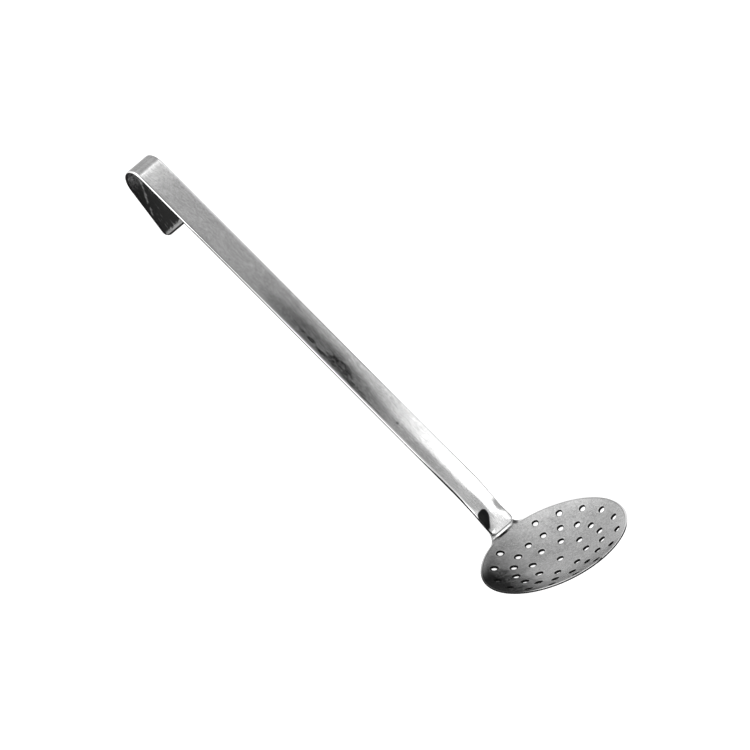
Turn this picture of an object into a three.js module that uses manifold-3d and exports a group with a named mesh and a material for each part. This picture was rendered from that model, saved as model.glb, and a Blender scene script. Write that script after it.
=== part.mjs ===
// Kitchen skimmer: a perforated pressed bowl, and a strip handle folded to a hook.
//
// All sizes are in millimetres. The two formed pieces share one centre line, the route that the bowl's
// sheet takes in the side view: from the dish, up the folded lug and on along the handle to the hook.
// The bowl lies on that line. The handle lies on the same line, one lap in front of it.
// The bowl is built level, with its hollow up and the handle rising from its rim on the +X side.
// At the end the whole skimmer is laid on its back, as it rests on a table.

import * as THREE from 'three';
import { mergeVertices } from 'three/addons/utils/BufferGeometryUtils.js';
import Module from 'manifold-3d';

// Bowl
const BOWL_DIAMETER = 100; // across the rim's inner edge
const DISH_DEPTH = 11.2; // from the rim's plane down to the inside of the middle
const BOWL_SHEET = 1.2;
const BOWL_EDGE_ROUNDING = 0.25;

// Drain holes: one in the middle, and rings about it
const HOLE_DIAMETER = 4.5;
const FIRST_RING_RADIUS = 18.3;
const RING_PITCH = 11.9;
const RING_COUNTS = [8, 16, 16];
const NECK_CLEAR_ANGLE = 12; // degrees each side of the neck that the outer ring leaves unpunched

// Lug: the tongue of the bowl's sheet that the handle is welded to
const LUG_WIDTH = 17.4;
const LUG_LENGTH = 24;
const LUG_FILLET = 11;
const LUG_TIP_ROUNDING = 6;
const FOLD_RADIUS = 2.4; // inside of the fold, which starts on the rim's circle
const LUG_ROOT = 5; // how far the lug's tongue is let into the dish's wall
const ROOT_SINK = 0.15; // how deep its faces lie below the dish's there

// Handle
const STRIP_WIDTH = 19.4;
const STRIP_THICKNESS = 2;
const STRIP_EDGE_ROUNDING = 0.55;
const STRIP_FOOT_ROUNDING = 8;
const STRIP_FOOT_GAP = 2; // from the end of the fold up to the strip's end
const NECK_RISE = 65; // degrees above the rim's plane, at the bowl
const HANDLE_RISE = 47.5; // degrees above the rim's plane, along the handle
const NECK_STRAIGHT = 8;
const NECK_BEND_RADIUS = 60;
const HANDLE_STRAIGHT = 296;

// Hook
const HOOK_INNER_RADIUS = 10;
const HOOK_TURN = 162; // degrees
const HOOK_LEG = 38;
const HOOK_TIP_ROUNDING = 4.5;

// Crown of the strip and the lug: how strongly the sheet is curved across its width
const NECK_CROWN_RADIUS = 17;
const NECK_CROWN_START = 2; // distances are measured up the centre line from the end of the fold
const NECK_CROWN_PEAK = 14;
const NECK_CROWN_END = 38;
const HANDLE_CROWN_RADIUS = 85;
const HANDLE_CROWN_FULL = 110;
const HANDLE_CROWN_END = 255;
const DISH_FADE = 6; // the dish's own curve dies out over this length of the lug

// Lap and spot welds
const LAP_GAP = 0.3;
const WELD_DIAMETER = 4.4;
const WELD_THICKNESS = 0.9;
const WELD_POSITIONS = [8.5, 17.5];
const WELD_CLEARANCE = 0.3;

// Fineness of the curved faces
const BOWL_SEGMENTS = 56;
const DISH_STEP = 7;
const HOLE_SEGMENTS = 16;
const WELD_SEGMENTS = 20;
const FACE_STEPS = 6;
const CORNER_STEPS = 2;
const ROOT_STEP = 1.2;
const FOLD_STEP = 0.55;
const NECK_STEP = 2.5;
const STRAIGHT_STEP = 24;
const HOOK_STEP = 8; // degrees
const TIP_STEPS = 6;

const DEGREE = Math.PI / 180;
const SAME_PLACE = 1e-4; // points closer than this are one vertex
const SLACK = 1e-6; // for rounding errors in sums of lengths
const wasm = await Module();
wasm.setup();

const steel = (shade, roughness) =>
  new THREE.MeshStandardMaterial({ color: new THREE.Color(shade, shade, shade), roughness, metalness: 1 });

const smoothstep = (low, high, value) => THREE.MathUtils.smoothstep(value, low, high);

// Solid and geometry: the two forms that a shape takes when it is cut or joined

function toSolid(geometry) {
  const bare = geometry.clone();
  bare.deleteAttribute('normal');
  bare.deleteAttribute('uv');
  const merged = mergeVertices(bare, SAME_PLACE);
  return new wasm.Manifold(new wasm.Mesh({
    numProp: 3,
    vertProperties: new Float32Array(merged.attributes.position.array),
    triVerts: new Uint32Array(merged.index.array),
  }));
}

function toGeometry(solid) {
  const mesh = solid.getMesh();
  const geometry = new THREE.BufferGeometry();
  geometry.setAttribute('position', new THREE.BufferAttribute(new Float32Array(mesh.vertProperties), 3));
  geometry.setIndex(new THREE.BufferAttribute(new Uint32Array(mesh.triVerts), 1));
  geometry.computeVertexNormals();
  return geometry;
}

function named(name, geometry, material) {
  const mesh = new THREE.Mesh(geometry, material);
  mesh.name = name;
  return mesh;
}

// Dish: both faces are spheres about one centre on the bowl's axis

const RIM_RADIUS = BOWL_DIAMETER / 2;
const DISH_INNER_RADIUS = (RIM_RADIUS ** 2 + DISH_DEPTH ** 2) / (2 * DISH_DEPTH);
const DISH_MIDDLE_RADIUS = DISH_INNER_RADIUS + BOWL_SHEET / 2;
const DISH_OUTER_RADIUS = DISH_INNER_RADIUS + BOWL_SHEET;
const DISH_CENTRE_HEIGHT = DISH_INNER_RADIUS - DISH_DEPTH;
const RIM_ANGLE = Math.asin(RIM_RADIUS / DISH_INNER_RADIUS);

const onMeridian = (radius, angle) =>
  new THREE.Vector2(radius * Math.sin(angle), DISH_CENTRE_HEIGHT - radius * Math.cos(angle));

function dishGeometry() {
  const steps = Math.ceil(RIM_RADIUS / DISH_STEP);
  const trim = BOWL_EDGE_ROUNDING / DISH_MIDDLE_RADIUS;
  const profile = [];
  for (let i = 0; i < steps; i += 1) {
    profile.push(onMeridian(DISH_OUTER_RADIUS, (RIM_ANGLE - trim) * i / steps));
  }
  profile.push(onMeridian(DISH_OUTER_RADIUS, RIM_ANGLE - trim));
  profile.push(onMeridian(DISH_OUTER_RADIUS - BOWL_EDGE_ROUNDING, RIM_ANGLE));
  profile.push(onMeridian(DISH_INNER_RADIUS + BOWL_EDGE_ROUNDING, RIM_ANGLE));
  profile.push(onMeridian(DISH_INNER_RADIUS, RIM_ANGLE - trim));
  for (let i = steps - 1; i >= 0; i -= 1) {
    profile.push(onMeridian(DISH_INNER_RADIUS, (RIM_ANGLE - trim) * i / steps));
  }
  profile[0].x = 0;
  profile[profile.length - 1].x = 0;
  return new THREE.LatheGeometry(profile, BOWL_SEGMENTS).rotateX(Math.PI / 2);
}

// Centre line: the middle of the bowl's sheet in the side view, made of straights and bends.
// Distance 0 is the end of the fold, where the lug leaves it.

const LAP_OFFSET = BOWL_SHEET / 2 + LAP_GAP + STRIP_THICKNESS / 2;

class CentreLine {
  constructor(start, heading) {
    this.pieces = [];
    this.end = { x: start.x, z: start.y, heading };
    this.length = 0;
  }

  add(length, turn) {
    this.pieces.push({ from: this.length, length, turn, start: { ...this.end } });
    this.length += length;
    this.end = this.at(this.length, true);
    return this;
  }

  straight(length) {
    return this.add(length, 0);
  }

  bend(radius, turn) {
    return this.add(radius * Math.abs(turn), turn);
  }

  at(distance, last = false) {
    const piece = last
      ? this.pieces[this.pieces.length - 1]
      : this.pieces.find((p) => distance <= p.from + p.length + SLACK) ?? this.pieces[this.pieces.length - 1];
    const along = distance - piece.from;
    const { x, z, heading } = piece.start;
    if (piece.turn === 0) {
      return { x: x + along * Math.cos(heading), z: z + along * Math.sin(heading), heading };
    }
    const now = heading + piece.turn * along / piece.length;
    const radius = piece.length / piece.turn;
    return {
      x: x + radius * (Math.sin(now) - Math.sin(heading)),
      z: z + radius * (Math.cos(heading) - Math.cos(now)),
      heading: now,
    };
  }
}

const rootAngle = RIM_ANGLE - LUG_ROOT / DISH_MIDDLE_RADIUS;
const neckTurn = (NECK_RISE - HANDLE_RISE) * DEGREE;
const hookRadius = HOOK_INNER_RADIUS + STRIP_THICKNESS / 2 - LAP_OFFSET;
const foldRadius = FOLD_RADIUS + BOWL_SHEET / 2;
const foldTurn = NECK_RISE * DEGREE - RIM_ANGLE;

const line = new CentreLine(onMeridian(DISH_MIDDLE_RADIUS, rootAngle), rootAngle)
  .bend(DISH_MIDDLE_RADIUS, RIM_ANGLE - rootAngle);
const foldStart = line.length;
line.bend(foldRadius, foldTurn);
const foldEnd = line.length;
line.straight(NECK_STRAIGHT)
  .bend(NECK_BEND_RADIUS, -neckTurn)
  .straight(HANDLE_STRAIGHT);
const hookStart = line.length - foldEnd;
line.bend(hookRadius, -HOOK_TURN * DEGREE);
const hookEnd = line.length - foldEnd;
line.straight(HOOK_LEG);
const lineEnd = line.length - foldEnd;

// Crown: curvature across the sheet at a distance along the centre line. Positive turns both sides back.

function crownAt(distance) {
  const dish = -1 / DISH_MIDDLE_RADIUS * (1 - smoothstep(0, DISH_FADE, distance));
  const neck = smoothstep(NECK_CROWN_START, NECK_CROWN_PEAK, distance)
    * (1 - smoothstep(NECK_CROWN_PEAK, NECK_CROWN_END, distance)) / NECK_CROWN_RADIUS;
  const handle = smoothstep(NECK_CROWN_START, NECK_CROWN_END, distance)
    * (1 - smoothstep(HANDLE_CROWN_FULL, HANDLE_CROWN_END, distance)) / HANDLE_CROWN_RADIUS;
  return dish + neck + handle;
}

// A point of a formed sheet: across is measured over the curved face, height in front of the centre line

function onSheet(distance, across, height) {
  const { x, z, heading } = line.at(distance + foldEnd);
  const crown = crownAt(distance);
  const turn = crown * across;
  const flat = Math.abs(crown) < SLACK;
  const aside = flat ? across : Math.sin(turn) / crown;
  const back = flat ? 0 : (1 - Math.cos(turn)) / crown;
  const forward = height * Math.cos(turn) - back;
  return new THREE.Vector3(
    x - forward * Math.sin(heading),
    aside + height * Math.sin(turn),
    z + forward * Math.cos(heading),
  );
}

// Outline of a sheet's cross-section, anticlockwise, with its four edges rounded

function sheetOutline(halfWidth, low, high, rounding) {
  const flatHalf = halfWidth - rounding;
  const outline = [];
  const face = (height, direction) => {
    for (let i = 1; i < FACE_STEPS; i += 1) {
      outline.push(new THREE.Vector2(direction * flatHalf * (2 * i / FACE_STEPS - 1), height));
    }
  };
  const corner = (side, height, startAngle) => {
    for (let i = 0; i <= CORNER_STEPS; i += 1) {
      const angle = startAngle + (i / CORNER_STEPS) * Math.PI / 2;
      outline.push(new THREE.Vector2(
        side * flatHalf + rounding * Math.cos(angle),
        height + rounding * Math.sin(angle),
      ));
    }
  };
  face(low, 1);
  corner(1, low + rounding, -Math.PI / 2);
  corner(1, high - rounding, 0);
  face(high, -1);
  corner(-1, high - rounding, Math.PI / 2);
  corner(-1, low + rounding, Math.PI);
  return outline;
}

// Loft: one closed skin through the cross-sections at the given distances

function loftSheet(distances, sectionAt) {
  const positions = [];
  const index = [];
  const outlines = distances.map((distance) => sectionAt(distance));
  const count = outlines[0].length;
  outlines.forEach((outline, row) => {
    outline.forEach((point) => {
      const place = onSheet(distances[row], point.x, point.y);
      positions.push(place.x, place.y, place.z);
    });
  });
  for (let row = 0; row < distances.length - 1; row += 1) {
    for (let i = 0; i < count; i += 1) {
      const next = (i + 1) % count;
      const a = row * count + i;
      const b = row * count + next;
      const c = b + count;
      const d = a + count;
      index.push(a, b, c, a, c, d);
    }
  }
  const lastRow = (distances.length - 1) * count;
  THREE.ShapeUtils.triangulateShape(outlines[0], []).forEach(([a, b, c]) => index.push(a, c, b));
  THREE.ShapeUtils.triangulateShape(outlines[distances.length - 1], [])
    .forEach(([a, b, c]) => index.push(lastRow + a, lastRow + b, lastRow + c));
  const geometry = new THREE.BufferGeometry();
  geometry.setAttribute('position', new THREE.Float32BufferAttribute(positions, 3));
  geometry.setIndex(index);
  geometry.computeVertexNormals();
  return geometry;
}

// Rounded end of a tongue: how much the half width is drawn in at a distance from the tip

function tipInset(fromTip, rounding) {
  if (fromTip >= rounding) {
    return 0;
  }
  return rounding - Math.sqrt(rounding ** 2 - (rounding - fromTip) ** 2);
}

// Distances between two marks, in equal steps no longer than the one given
function steps(from, to, step) {
  const count = Math.max(1, Math.ceil((to - from) / step - SLACK));
  return Array.from({ length: count }, (unused, i) => from + (to - from) * i / count);
}

// Distances over a rounded tip, closer together towards the end
function tipSteps(tip, rounding, direction) {
  return Array.from({ length: TIP_STEPS }, (unused, i) =>
    tip + direction * rounding * (1 - Math.cos((i / TIP_STEPS) * Math.PI / 2)));
}

// Bowl: the dish, its lug and the holes

// Fillets between the lug's sides and the rim, on the sheet laid out flat. There the rim is a circle
// of this radius, and each fillet's centre lies one fillet radius outside it and outside the lug.
const RIM_LAID_OUT = DISH_MIDDLE_RADIUS * Math.tan(RIM_ANGLE);
const filletAside = LUG_WIDTH / 2 + LUG_FILLET;
const filletAhead = Math.sqrt((RIM_LAID_OUT + LUG_FILLET) ** 2 - filletAside ** 2) - RIM_LAID_OUT;
const filletReach = LUG_FILLET * (RIM_LAID_OUT + filletAhead) / (RIM_LAID_OUT + LUG_FILLET);

function lugHalfWidth(distance) {
  const beyondRim = distance + foldEnd - foldStart;
  const flare = THREE.MathUtils.clamp(filletAhead - beyondRim, 0, filletReach);
  return filletAside - Math.sqrt(LUG_FILLET ** 2 - flare ** 2);
}

function lugSolid() {
  const crease = foldStart - foldEnd;
  const distances = [
    ...steps(-foldEnd, crease, ROOT_STEP),
    ...steps(crease, 0, FOLD_STEP),
    ...steps(0, DISH_FADE, ROOT_STEP),
    ...steps(DISH_FADE, LUG_LENGTH - LUG_TIP_ROUNDING, NECK_STEP),
    ...tipSteps(LUG_LENGTH, LUG_TIP_ROUNDING, -1).reverse(),
  ];
  const section = (distance) => {
    const halfWidth = lugHalfWidth(distance) - tipInset(LUG_LENGTH - distance, LUG_TIP_ROUNDING);
    const sunk = distance < crease ? ROOT_SINK : 0;
    return sheetOutline(halfWidth, -BOWL_SHEET / 2 + sunk, BOWL_SHEET / 2 - sunk, BOWL_EDGE_ROUNDING);
  };
  return toSolid(loftSheet(distances, section));
}

function holePlaces() {
  const places = [{ radius: 0, angle: 0 }];
  RING_COUNTS.forEach((count, ring) => {
    const radius = FIRST_RING_RADIUS + ring * RING_PITCH;
    const outermost = ring === RING_COUNTS.length - 1;
    for (let i = 0; i < count; i += 1) {
      const angle = 360 * i / count;
      const fromNeck = Math.min(angle, 360 - angle);
      if (!outermost || fromNeck > NECK_CLEAR_ANGLE) {
        places.push({ radius, angle: angle * DEGREE });
      }
    }
  });
  return places;
}

const punchLength = 4 * BOWL_SHEET; // well past both faces of the sheet

function punch({ radius, angle }) {
  const lean = Math.asin(radius / DISH_INNER_RADIUS);
  const middle = onMeridian(DISH_MIDDLE_RADIUS, lean);
  const pin = new THREE.CylinderGeometry(HOLE_DIAMETER / 2, HOLE_DIAMETER / 2, punchLength, HOLE_SEGMENTS);
  pin.rotateX(Math.PI / 2);
  pin.rotateY(-lean);
  pin.translate(middle.x, 0, middle.y);
  pin.rotateZ(angle);
  return toSolid(pin);
}

// Spot welds: round nuggets in shallow pockets of both faces of the lap

const lapMiddle = BOWL_SHEET / 2 + LAP_GAP / 2;

function weldDisc(distance, diameter, thickness) {
  const { x, z, heading } = line.at(distance + foldEnd);
  const disc = new THREE.CylinderGeometry(diameter / 2, diameter / 2, thickness, WELD_SEGMENTS);
  disc.rotateX(Math.PI / 2);
  disc.translate(0, 0, lapMiddle);
  disc.rotateY(-heading);
  disc.translate(x, 0, z);
  return disc;
}

const weldPockets = WELD_POSITIONS.map((distance) => toSolid(
  weldDisc(distance, WELD_DIAMETER + 2 * WELD_CLEARANCE, WELD_THICKNESS + 2 * WELD_CLEARANCE),
));

function bowl() {
  let solid = toSolid(dishGeometry()).add(lugSolid());
  holePlaces().forEach((place) => {
    solid = solid.subtract(punch(place));
  });
  weldPockets.forEach((pocket) => {
    solid = solid.subtract(pocket);
  });
  return named('bowl', toGeometry(solid), steel(0.62, 0.38));
}

// Handle: the strip from its rounded foot to the rounded tip of the hook

function stripHalfWidth(distance) {
  const inset = tipInset(distance - STRIP_FOOT_GAP, STRIP_FOOT_ROUNDING)
    + tipInset(lineEnd - distance, HOOK_TIP_ROUNDING);
  return (STRIP_WIDTH / 2 - inset) / (1 + crownAt(distance) * LAP_OFFSET);
}

function handle() {
  const footEnd = STRIP_FOOT_GAP + STRIP_FOOT_ROUNDING;
  const distances = [
    ...tipSteps(STRIP_FOOT_GAP, STRIP_FOOT_ROUNDING, 1),
    ...steps(footEnd, NECK_CROWN_END, NECK_STEP),
    ...steps(NECK_CROWN_END, HANDLE_CROWN_END, STRAIGHT_STEP / 2),
    ...steps(HANDLE_CROWN_END, hookStart, STRAIGHT_STEP),
    ...steps(hookStart, hookEnd, hookRadius * HOOK_STEP * DEGREE),
    ...steps(hookEnd, lineEnd - HOOK_TIP_ROUNDING, STRAIGHT_STEP),
    ...tipSteps(lineEnd, HOOK_TIP_ROUNDING, -1).reverse(),
  ];
  const low = LAP_OFFSET - STRIP_THICKNESS / 2;
  const section = (distance) =>
    sheetOutline(stripHalfWidth(distance), low, low + STRIP_THICKNESS, STRIP_EDGE_ROUNDING);
  let solid = toSolid(loftSheet(distances, section));
  weldPockets.forEach((pocket) => {
    solid = solid.subtract(pocket);
  });
  return named('handle', toGeometry(solid), steel(0.66, 0.32));
}

function spotWelds() {
  const names = ['spot_weld_lower', 'spot_weld_upper'];
  return WELD_POSITIONS.map((distance, i) =>
    named(names[i], weldDisc(distance, WELD_DIAMETER, WELD_THICKNESS), steel(0.5, 0.5)));
}

// The skimmer laid on its back. It rests on the round outside of the fold and on the tip of the hook's
// leg, so it is turned until the line that touches both lies level.

const foldBegin = line.at(foldStart);
const foldCentre = new THREE.Vector2(
  foldBegin.x - foldRadius * Math.sin(foldBegin.heading),
  foldBegin.z + foldRadius * Math.cos(foldBegin.heading),
);
const hookTip = onSheet(lineEnd, 0, LAP_OFFSET + STRIP_THICKNESS / 2);
const reach = new THREE.Vector2(hookTip.x, hookTip.z).sub(foldCentre);
const restSlope = reach.angle() + Math.asin((FOLD_RADIUS + BOWL_SHEET) / reach.length());

const laidDown = new THREE.Group();
laidDown.rotation.y = restSlope;
laidDown.add(bowl(), handle(), ...spotWelds());

// The origin is under the middle of the whole, at table height
const skimmer = new THREE.Group();
skimmer.add(laidDown);
const box = new THREE.Box3().setFromObject(skimmer, true);
const boxMiddle = box.getCenter(new THREE.Vector3());
skimmer.position.set(-boxMiddle.x, -boxMiddle.y, -box.min.z);

export default skimmer;
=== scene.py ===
# %% [markdown]
# This lesson dresses a kitchen skimmer: a shallow steel bowl full of holes, and a long steel strip
# that is welded to the bowl's lug and folded to a hook. The real one starts as flat sheet. A press
# punches the blank, dishes the bowl and folds the lug, and the strip is bent over a former.
# The script works in the same order: it draws each blank, then forms it along one shared line.

import math
from types import SimpleNamespace

import bmesh
import bpy
from mathutils import Matrix, Vector


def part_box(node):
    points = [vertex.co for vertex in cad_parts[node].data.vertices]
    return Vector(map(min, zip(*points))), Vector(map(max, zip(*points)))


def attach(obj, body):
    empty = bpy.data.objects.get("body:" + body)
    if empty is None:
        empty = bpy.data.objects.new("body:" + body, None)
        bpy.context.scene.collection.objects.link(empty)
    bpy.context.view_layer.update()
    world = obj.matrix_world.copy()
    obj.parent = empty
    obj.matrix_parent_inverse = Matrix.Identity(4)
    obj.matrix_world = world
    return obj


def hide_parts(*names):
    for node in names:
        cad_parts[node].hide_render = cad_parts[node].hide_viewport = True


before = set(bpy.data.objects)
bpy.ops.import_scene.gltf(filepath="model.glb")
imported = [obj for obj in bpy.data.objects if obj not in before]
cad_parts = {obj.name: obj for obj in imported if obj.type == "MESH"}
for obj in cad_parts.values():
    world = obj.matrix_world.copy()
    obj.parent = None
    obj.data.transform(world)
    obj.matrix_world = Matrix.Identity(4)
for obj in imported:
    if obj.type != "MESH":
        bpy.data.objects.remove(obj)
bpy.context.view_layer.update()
print("nodes in the frame:", sorted(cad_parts))

# %% [markdown]
# The camera comes first, because every later choice is judged through it. The photograph was taken
# from far away, so lines that are parallel on the skimmer stay parallel in the picture. A long lens
# would nearly do, and an orthographic camera does it exactly. Its direction is stated as an azimuth,
# an elevation and a roll, as a photographer would set it.

# %% Camera
MM = 0.001
SAME_PLACE = 0.001 * MM
CAMERA_AZIMUTH = math.radians(210.73)
CAMERA_ELEVATION = math.radians(60.39)
CAMERA_ROLL = math.radians(-15.42)
CAMERA_DISTANCE = 2.0
CAMERA_SIGHT = 20  # metres, beyond which nothing is drawn
SEEN_WIDTH = 475.35 * MM  # how much of the object's plane the square picture spans
CAMERA_AIM = Vector((-15.9 * MM, 15.5 * MM, 71.3 * MM))


def make_camera():
    flat = math.cos(CAMERA_ELEVATION)
    back = Vector((
        math.sin(CAMERA_AZIMUTH) * flat,
        -math.cos(CAMERA_AZIMUTH) * flat,
        math.sin(CAMERA_ELEVATION),
    ))
    level_right = Vector((0, 0, 1)).cross(back).normalized()
    level_up = back.cross(level_right)
    up = level_up * math.cos(CAMERA_ROLL) + level_right * math.sin(CAMERA_ROLL)
    right = up.cross(back)
    data = bpy.data.cameras.new("photo_camera")
    data.type = "ORTHO"
    data.ortho_scale = SEEN_WIDTH
    data.clip_end = CAMERA_SIGHT
    camera = bpy.data.objects.new("photo_camera", data)
    turn = Matrix((right, up, back)).transposed().to_4x4()
    camera.matrix_world = Matrix.Translation(CAMERA_AIM + back * CAMERA_DISTANCE) @ turn
    bpy.context.collection.objects.link(camera)
    bpy.context.scene.camera = camera
    return camera


camera = make_camera()
print("picture spans", round(camera.data.ortho_scale / MM, 1), "mm")

# %% [markdown]
# Both pieces follow one line, seen from the side: along the dish, up the fold of the lug, round the
# bend of the neck, down the handle and round the hook. A route made of straights and bends is
# enough for it. Each stretch is a length and a turn, and a point is found by walking along them.
# Distance 0 is the end of the fold, where the lug leaves it.

# %% The line that both pieces follow
BOWL_RADIUS = 50 * MM
DISH_DEPTH = 11.2 * MM
BOWL_SHEET = 1.2 * MM
STRIP_THICKNESS = 2 * MM
LAP_GAP = 0.3 * MM
FOLD_RADIUS = 2.4 * MM
NECK_RISE = math.radians(65)
HANDLE_RISE = math.radians(47.5)
NECK_STRAIGHT = 8 * MM
NECK_BEND_RADIUS = 60 * MM
HANDLE_STRAIGHT = 296 * MM
HOOK_INNER_RADIUS = 10 * MM
HOOK_TURN = math.radians(162)
HOOK_LEG = 38 * MM

dish_inner = (BOWL_RADIUS**2 + DISH_DEPTH**2) / (2 * DISH_DEPTH)
dish_middle = dish_inner + BOWL_SHEET / 2
dish_centre = dish_inner - DISH_DEPTH
rim_angle = math.asin(BOWL_RADIUS / dish_inner)
lap_offset = BOWL_SHEET / 2 + LAP_GAP + STRIP_THICKNESS / 2
fold_radius = FOLD_RADIUS + BOWL_SHEET / 2
hook_radius = HOOK_INNER_RADIUS + STRIP_THICKNESS / 2 - lap_offset
crease = -fold_radius * (NECK_RISE - rim_angle)

stretches = [
    (-crease, NECK_RISE - rim_angle),
    (NECK_STRAIGHT, 0),
    (NECK_BEND_RADIUS * (NECK_RISE - HANDLE_RISE), HANDLE_RISE - NECK_RISE),
    (HANDLE_STRAIGHT, 0),
    (hook_radius * HOOK_TURN, -HOOK_TURN),
    (HOOK_LEG, 0),
]
strip_end = crease + sum(length for length, turn in stretches)
hook_end = strip_end - HOOK_LEG
hook_start = hook_end - hook_radius * HOOK_TURN


def along(distance):
    """The point of the line at a distance, and the heading there."""
    x = dish_middle * math.sin(rim_angle)
    z = dish_centre - dish_middle * math.cos(rim_angle)
    heading = rim_angle
    left = distance - crease
    for length, turn in stretches:
        step = min(left, length) if (length, turn) != stretches[-1] else left
        if turn:
            radius = length / turn
            after = heading + step / radius
            x += radius * (math.sin(after) - math.sin(heading))
            z += radius * (math.cos(heading) - math.cos(after))
            heading = after
        else:
            x += step * math.cos(heading)
            z += step * math.sin(heading)
        left -= step
        if left <= 0:
            break
    return x, z, heading


print("strip runs to", round(strip_end / MM, 1), "mm; hook starts at", round(hook_start / MM, 1), "mm")

# %% [markdown]
# The strip isn't flat across. At the neck it is pressed to a round back, which stiffens it, and this
# crown runs out towards the hook. One function gives the curvature at each distance, and one more
# puts a point of the flat blank in its formed place: along the line, across the crown, and at its
# height in front of the line.

# %% Forming a flat blank
NECK_CROWN_RADIUS = 17 * MM
NECK_CROWN = (2 * MM, 14 * MM, 38 * MM)  # where it starts, is strongest and ends
HANDLE_CROWN_RADIUS = 85 * MM
HANDLE_CROWN_FULL = 110 * MM
HANDLE_CROWN_END = 255 * MM
DISH_FADE = 6 * MM
FLAT_TURN = 1e-6  # radians, below which a section counts as flat


def ease(low, high, value):
    t = min(max((value - low) / (high - low), 0), 1)
    return t * t * (3 - 2 * t)


def crown_at(distance):
    start, peak, end = NECK_CROWN
    dish = (ease(0, DISH_FADE, distance) - 1) / dish_middle
    neck = ease(start, peak, distance) * (1 - ease(peak, end, distance)) / NECK_CROWN_RADIUS
    handle = ease(start, end, distance) * (1 - ease(HANDLE_CROWN_FULL, HANDLE_CROWN_END, distance))
    return dish + neck + handle / HANDLE_CROWN_RADIUS


def formed(distance, across, height):
    """The formed place of a point of the blank, at a height in front of the line."""
    x, z, heading = along(distance)
    crown = crown_at(distance)
    turn = crown * across
    aside, behind = across, 0
    if abs(turn) > FLAT_TURN:
        aside = math.sin(turn) / crown
        behind = (1 - math.cos(turn)) / crown
    forward = height * math.cos(turn) - behind
    return Vector((
        x - forward * math.sin(heading),
        aside + height * math.sin(turn),
        z + forward * math.cos(heading),
    ))


strongest = NECK_CROWN[1]
print("crown radius at", round(strongest / MM), "mm:", round(1 / crown_at(strongest) / MM, 1), "mm")

# %% [markdown]
# The skimmer is drawn with its bowl level, because that is how a bowl is easiest to draw. It lies on
# the table on its back, touching it with the fold and with the tip of the hook. The slope that
# does this is found from the same line, and the height and place come from the frame's box.

# %% From the drawing to the table
HOOK_SAMPLES = 40


def front_of_hook(share):
    """The point on the strip's front at a share of the way round the hook's bend."""
    return formed(hook_start + share * (hook_end - hook_start), 0, lap_offset + STRIP_THICKNESS / 2)


def rest_matrix():
    x, z, heading = along(crease)
    centre = Vector((x - fold_radius * math.sin(heading), z + fold_radius * math.cos(heading)))
    tip = formed(strip_end, 0, lap_offset + STRIP_THICKNESS / 2)
    reach = Vector((tip.x, tip.z)) - centre
    slope = math.atan2(reach.y, reach.x) + math.asin((FOLD_RADIUS + BOWL_SHEET) / reach.length)
    turn = Matrix.Rotation(slope, 4, "Y")
    tip_now = turn @ tip
    hook_side = max((turn @ front_of_hook(i / HOOK_SAMPLES)).x for i in range(HOOK_SAMPLES + 1))
    shift = Vector((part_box("handle")[1].x - hook_side, 0, -tip_now.z))
    return Matrix.Translation(shift) @ turn, slope


to_table, slope = rest_matrix()
print("slope on the table:", round(math.degrees(slope), 2), "degrees")

# %% [markdown]
# Every piece ends in the same way. Its drawing is moved to the table, its faces are shaded smooth,
# and it becomes an object whose place is all in its mesh. Then it rides on its body of the frame.

# %% Turning a drawing into a piece
def finish_piece(name, drawing, material, body="root"):
    """Makes the drawing an object in the frame, with its place in its mesh."""
    bmesh.ops.transform(drawing, matrix=to_table, verts=drawing.verts)
    for face in drawing.faces:
        face.smooth = True
    mesh = bpy.data.meshes.new(name)
    drawing.to_mesh(mesh)
    drawing.free()
    piece = bpy.data.objects.new(name, mesh)
    bpy.context.collection.objects.link(piece)
    piece.data.materials.append(material)
    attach(piece, body)
    print(name + ":", len(mesh.polygons), "faces")
    return piece


# %% [markdown]
# The bowl is one sheet, so it is drawn as one sheet without thickness, and gets its wall at the end.
# Half of its section, an arc, is spun about the axis. That gives rings and spokes of even faces.
# The arc starts on the edge of the middle hole, so there is no pole to close. The rings are spaced
# so that a whole field of faces can be taken out wherever a hole will be.

# %% Dish
SPOKES = 256
HOLE_RADIUS = 2.25 * MM
HOLE_RINGS = [(18.3 * MM, 8, 8), (30.2 * MM, 16, 5), (42.1 * MM, 16, 4)]  # radius, holes, half a field
HOLE_BURR = 0.2 * MM  # how far the torn edge reaches into the hole
HOLE_STEPS = [  # radius, share of the way to a circle, how far the punch has drawn the sheet down
    (3.35 * MM, 0.55, 0), (2.8 * MM, 1, 0.04 * MM), (2.5 * MM, 1, 0.13 * MM), (HOLE_RADIUS, 1, 0.28 * MM),
    (HOLE_RADIUS - HOLE_BURR, 1, 0.4 * MM),
]
SHADED_HOLE_SIDE = Vector((0.876, -0.482, 0))  # the side of each hole on which its ring gets wider painted shade
FIELD_REACH = 4 * MM
RING_STEP = 1.1 * MM
EDGE_STEP = 0.5 * MM
NEARLY = 0.01  # of a step, so that a length that fits exactly isn't given one more

sphere_middle = Vector((0, 0, dish_centre))
rim_arc = rim_angle * dish_middle


def on_dish(arc, angle, sunk=0):
    """The point of the sheet's middle at an arc from the axis, and an angle round it."""
    lean = arc / dish_middle
    return sphere_middle + (dish_middle + sunk) * Vector((
        math.sin(lean) * math.cos(angle), math.sin(lean) * math.sin(angle), -math.cos(lean),
    ))


def ring_arc(radius):
    return math.asin(radius / dish_inner) * dish_middle


def steps(start, end, longest):
    """Even steps from start up to, but without, end."""
    count = math.ceil((end - start) / longest - NEARLY)
    return [start + (end - start) * i / count for i in range(count)]


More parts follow.
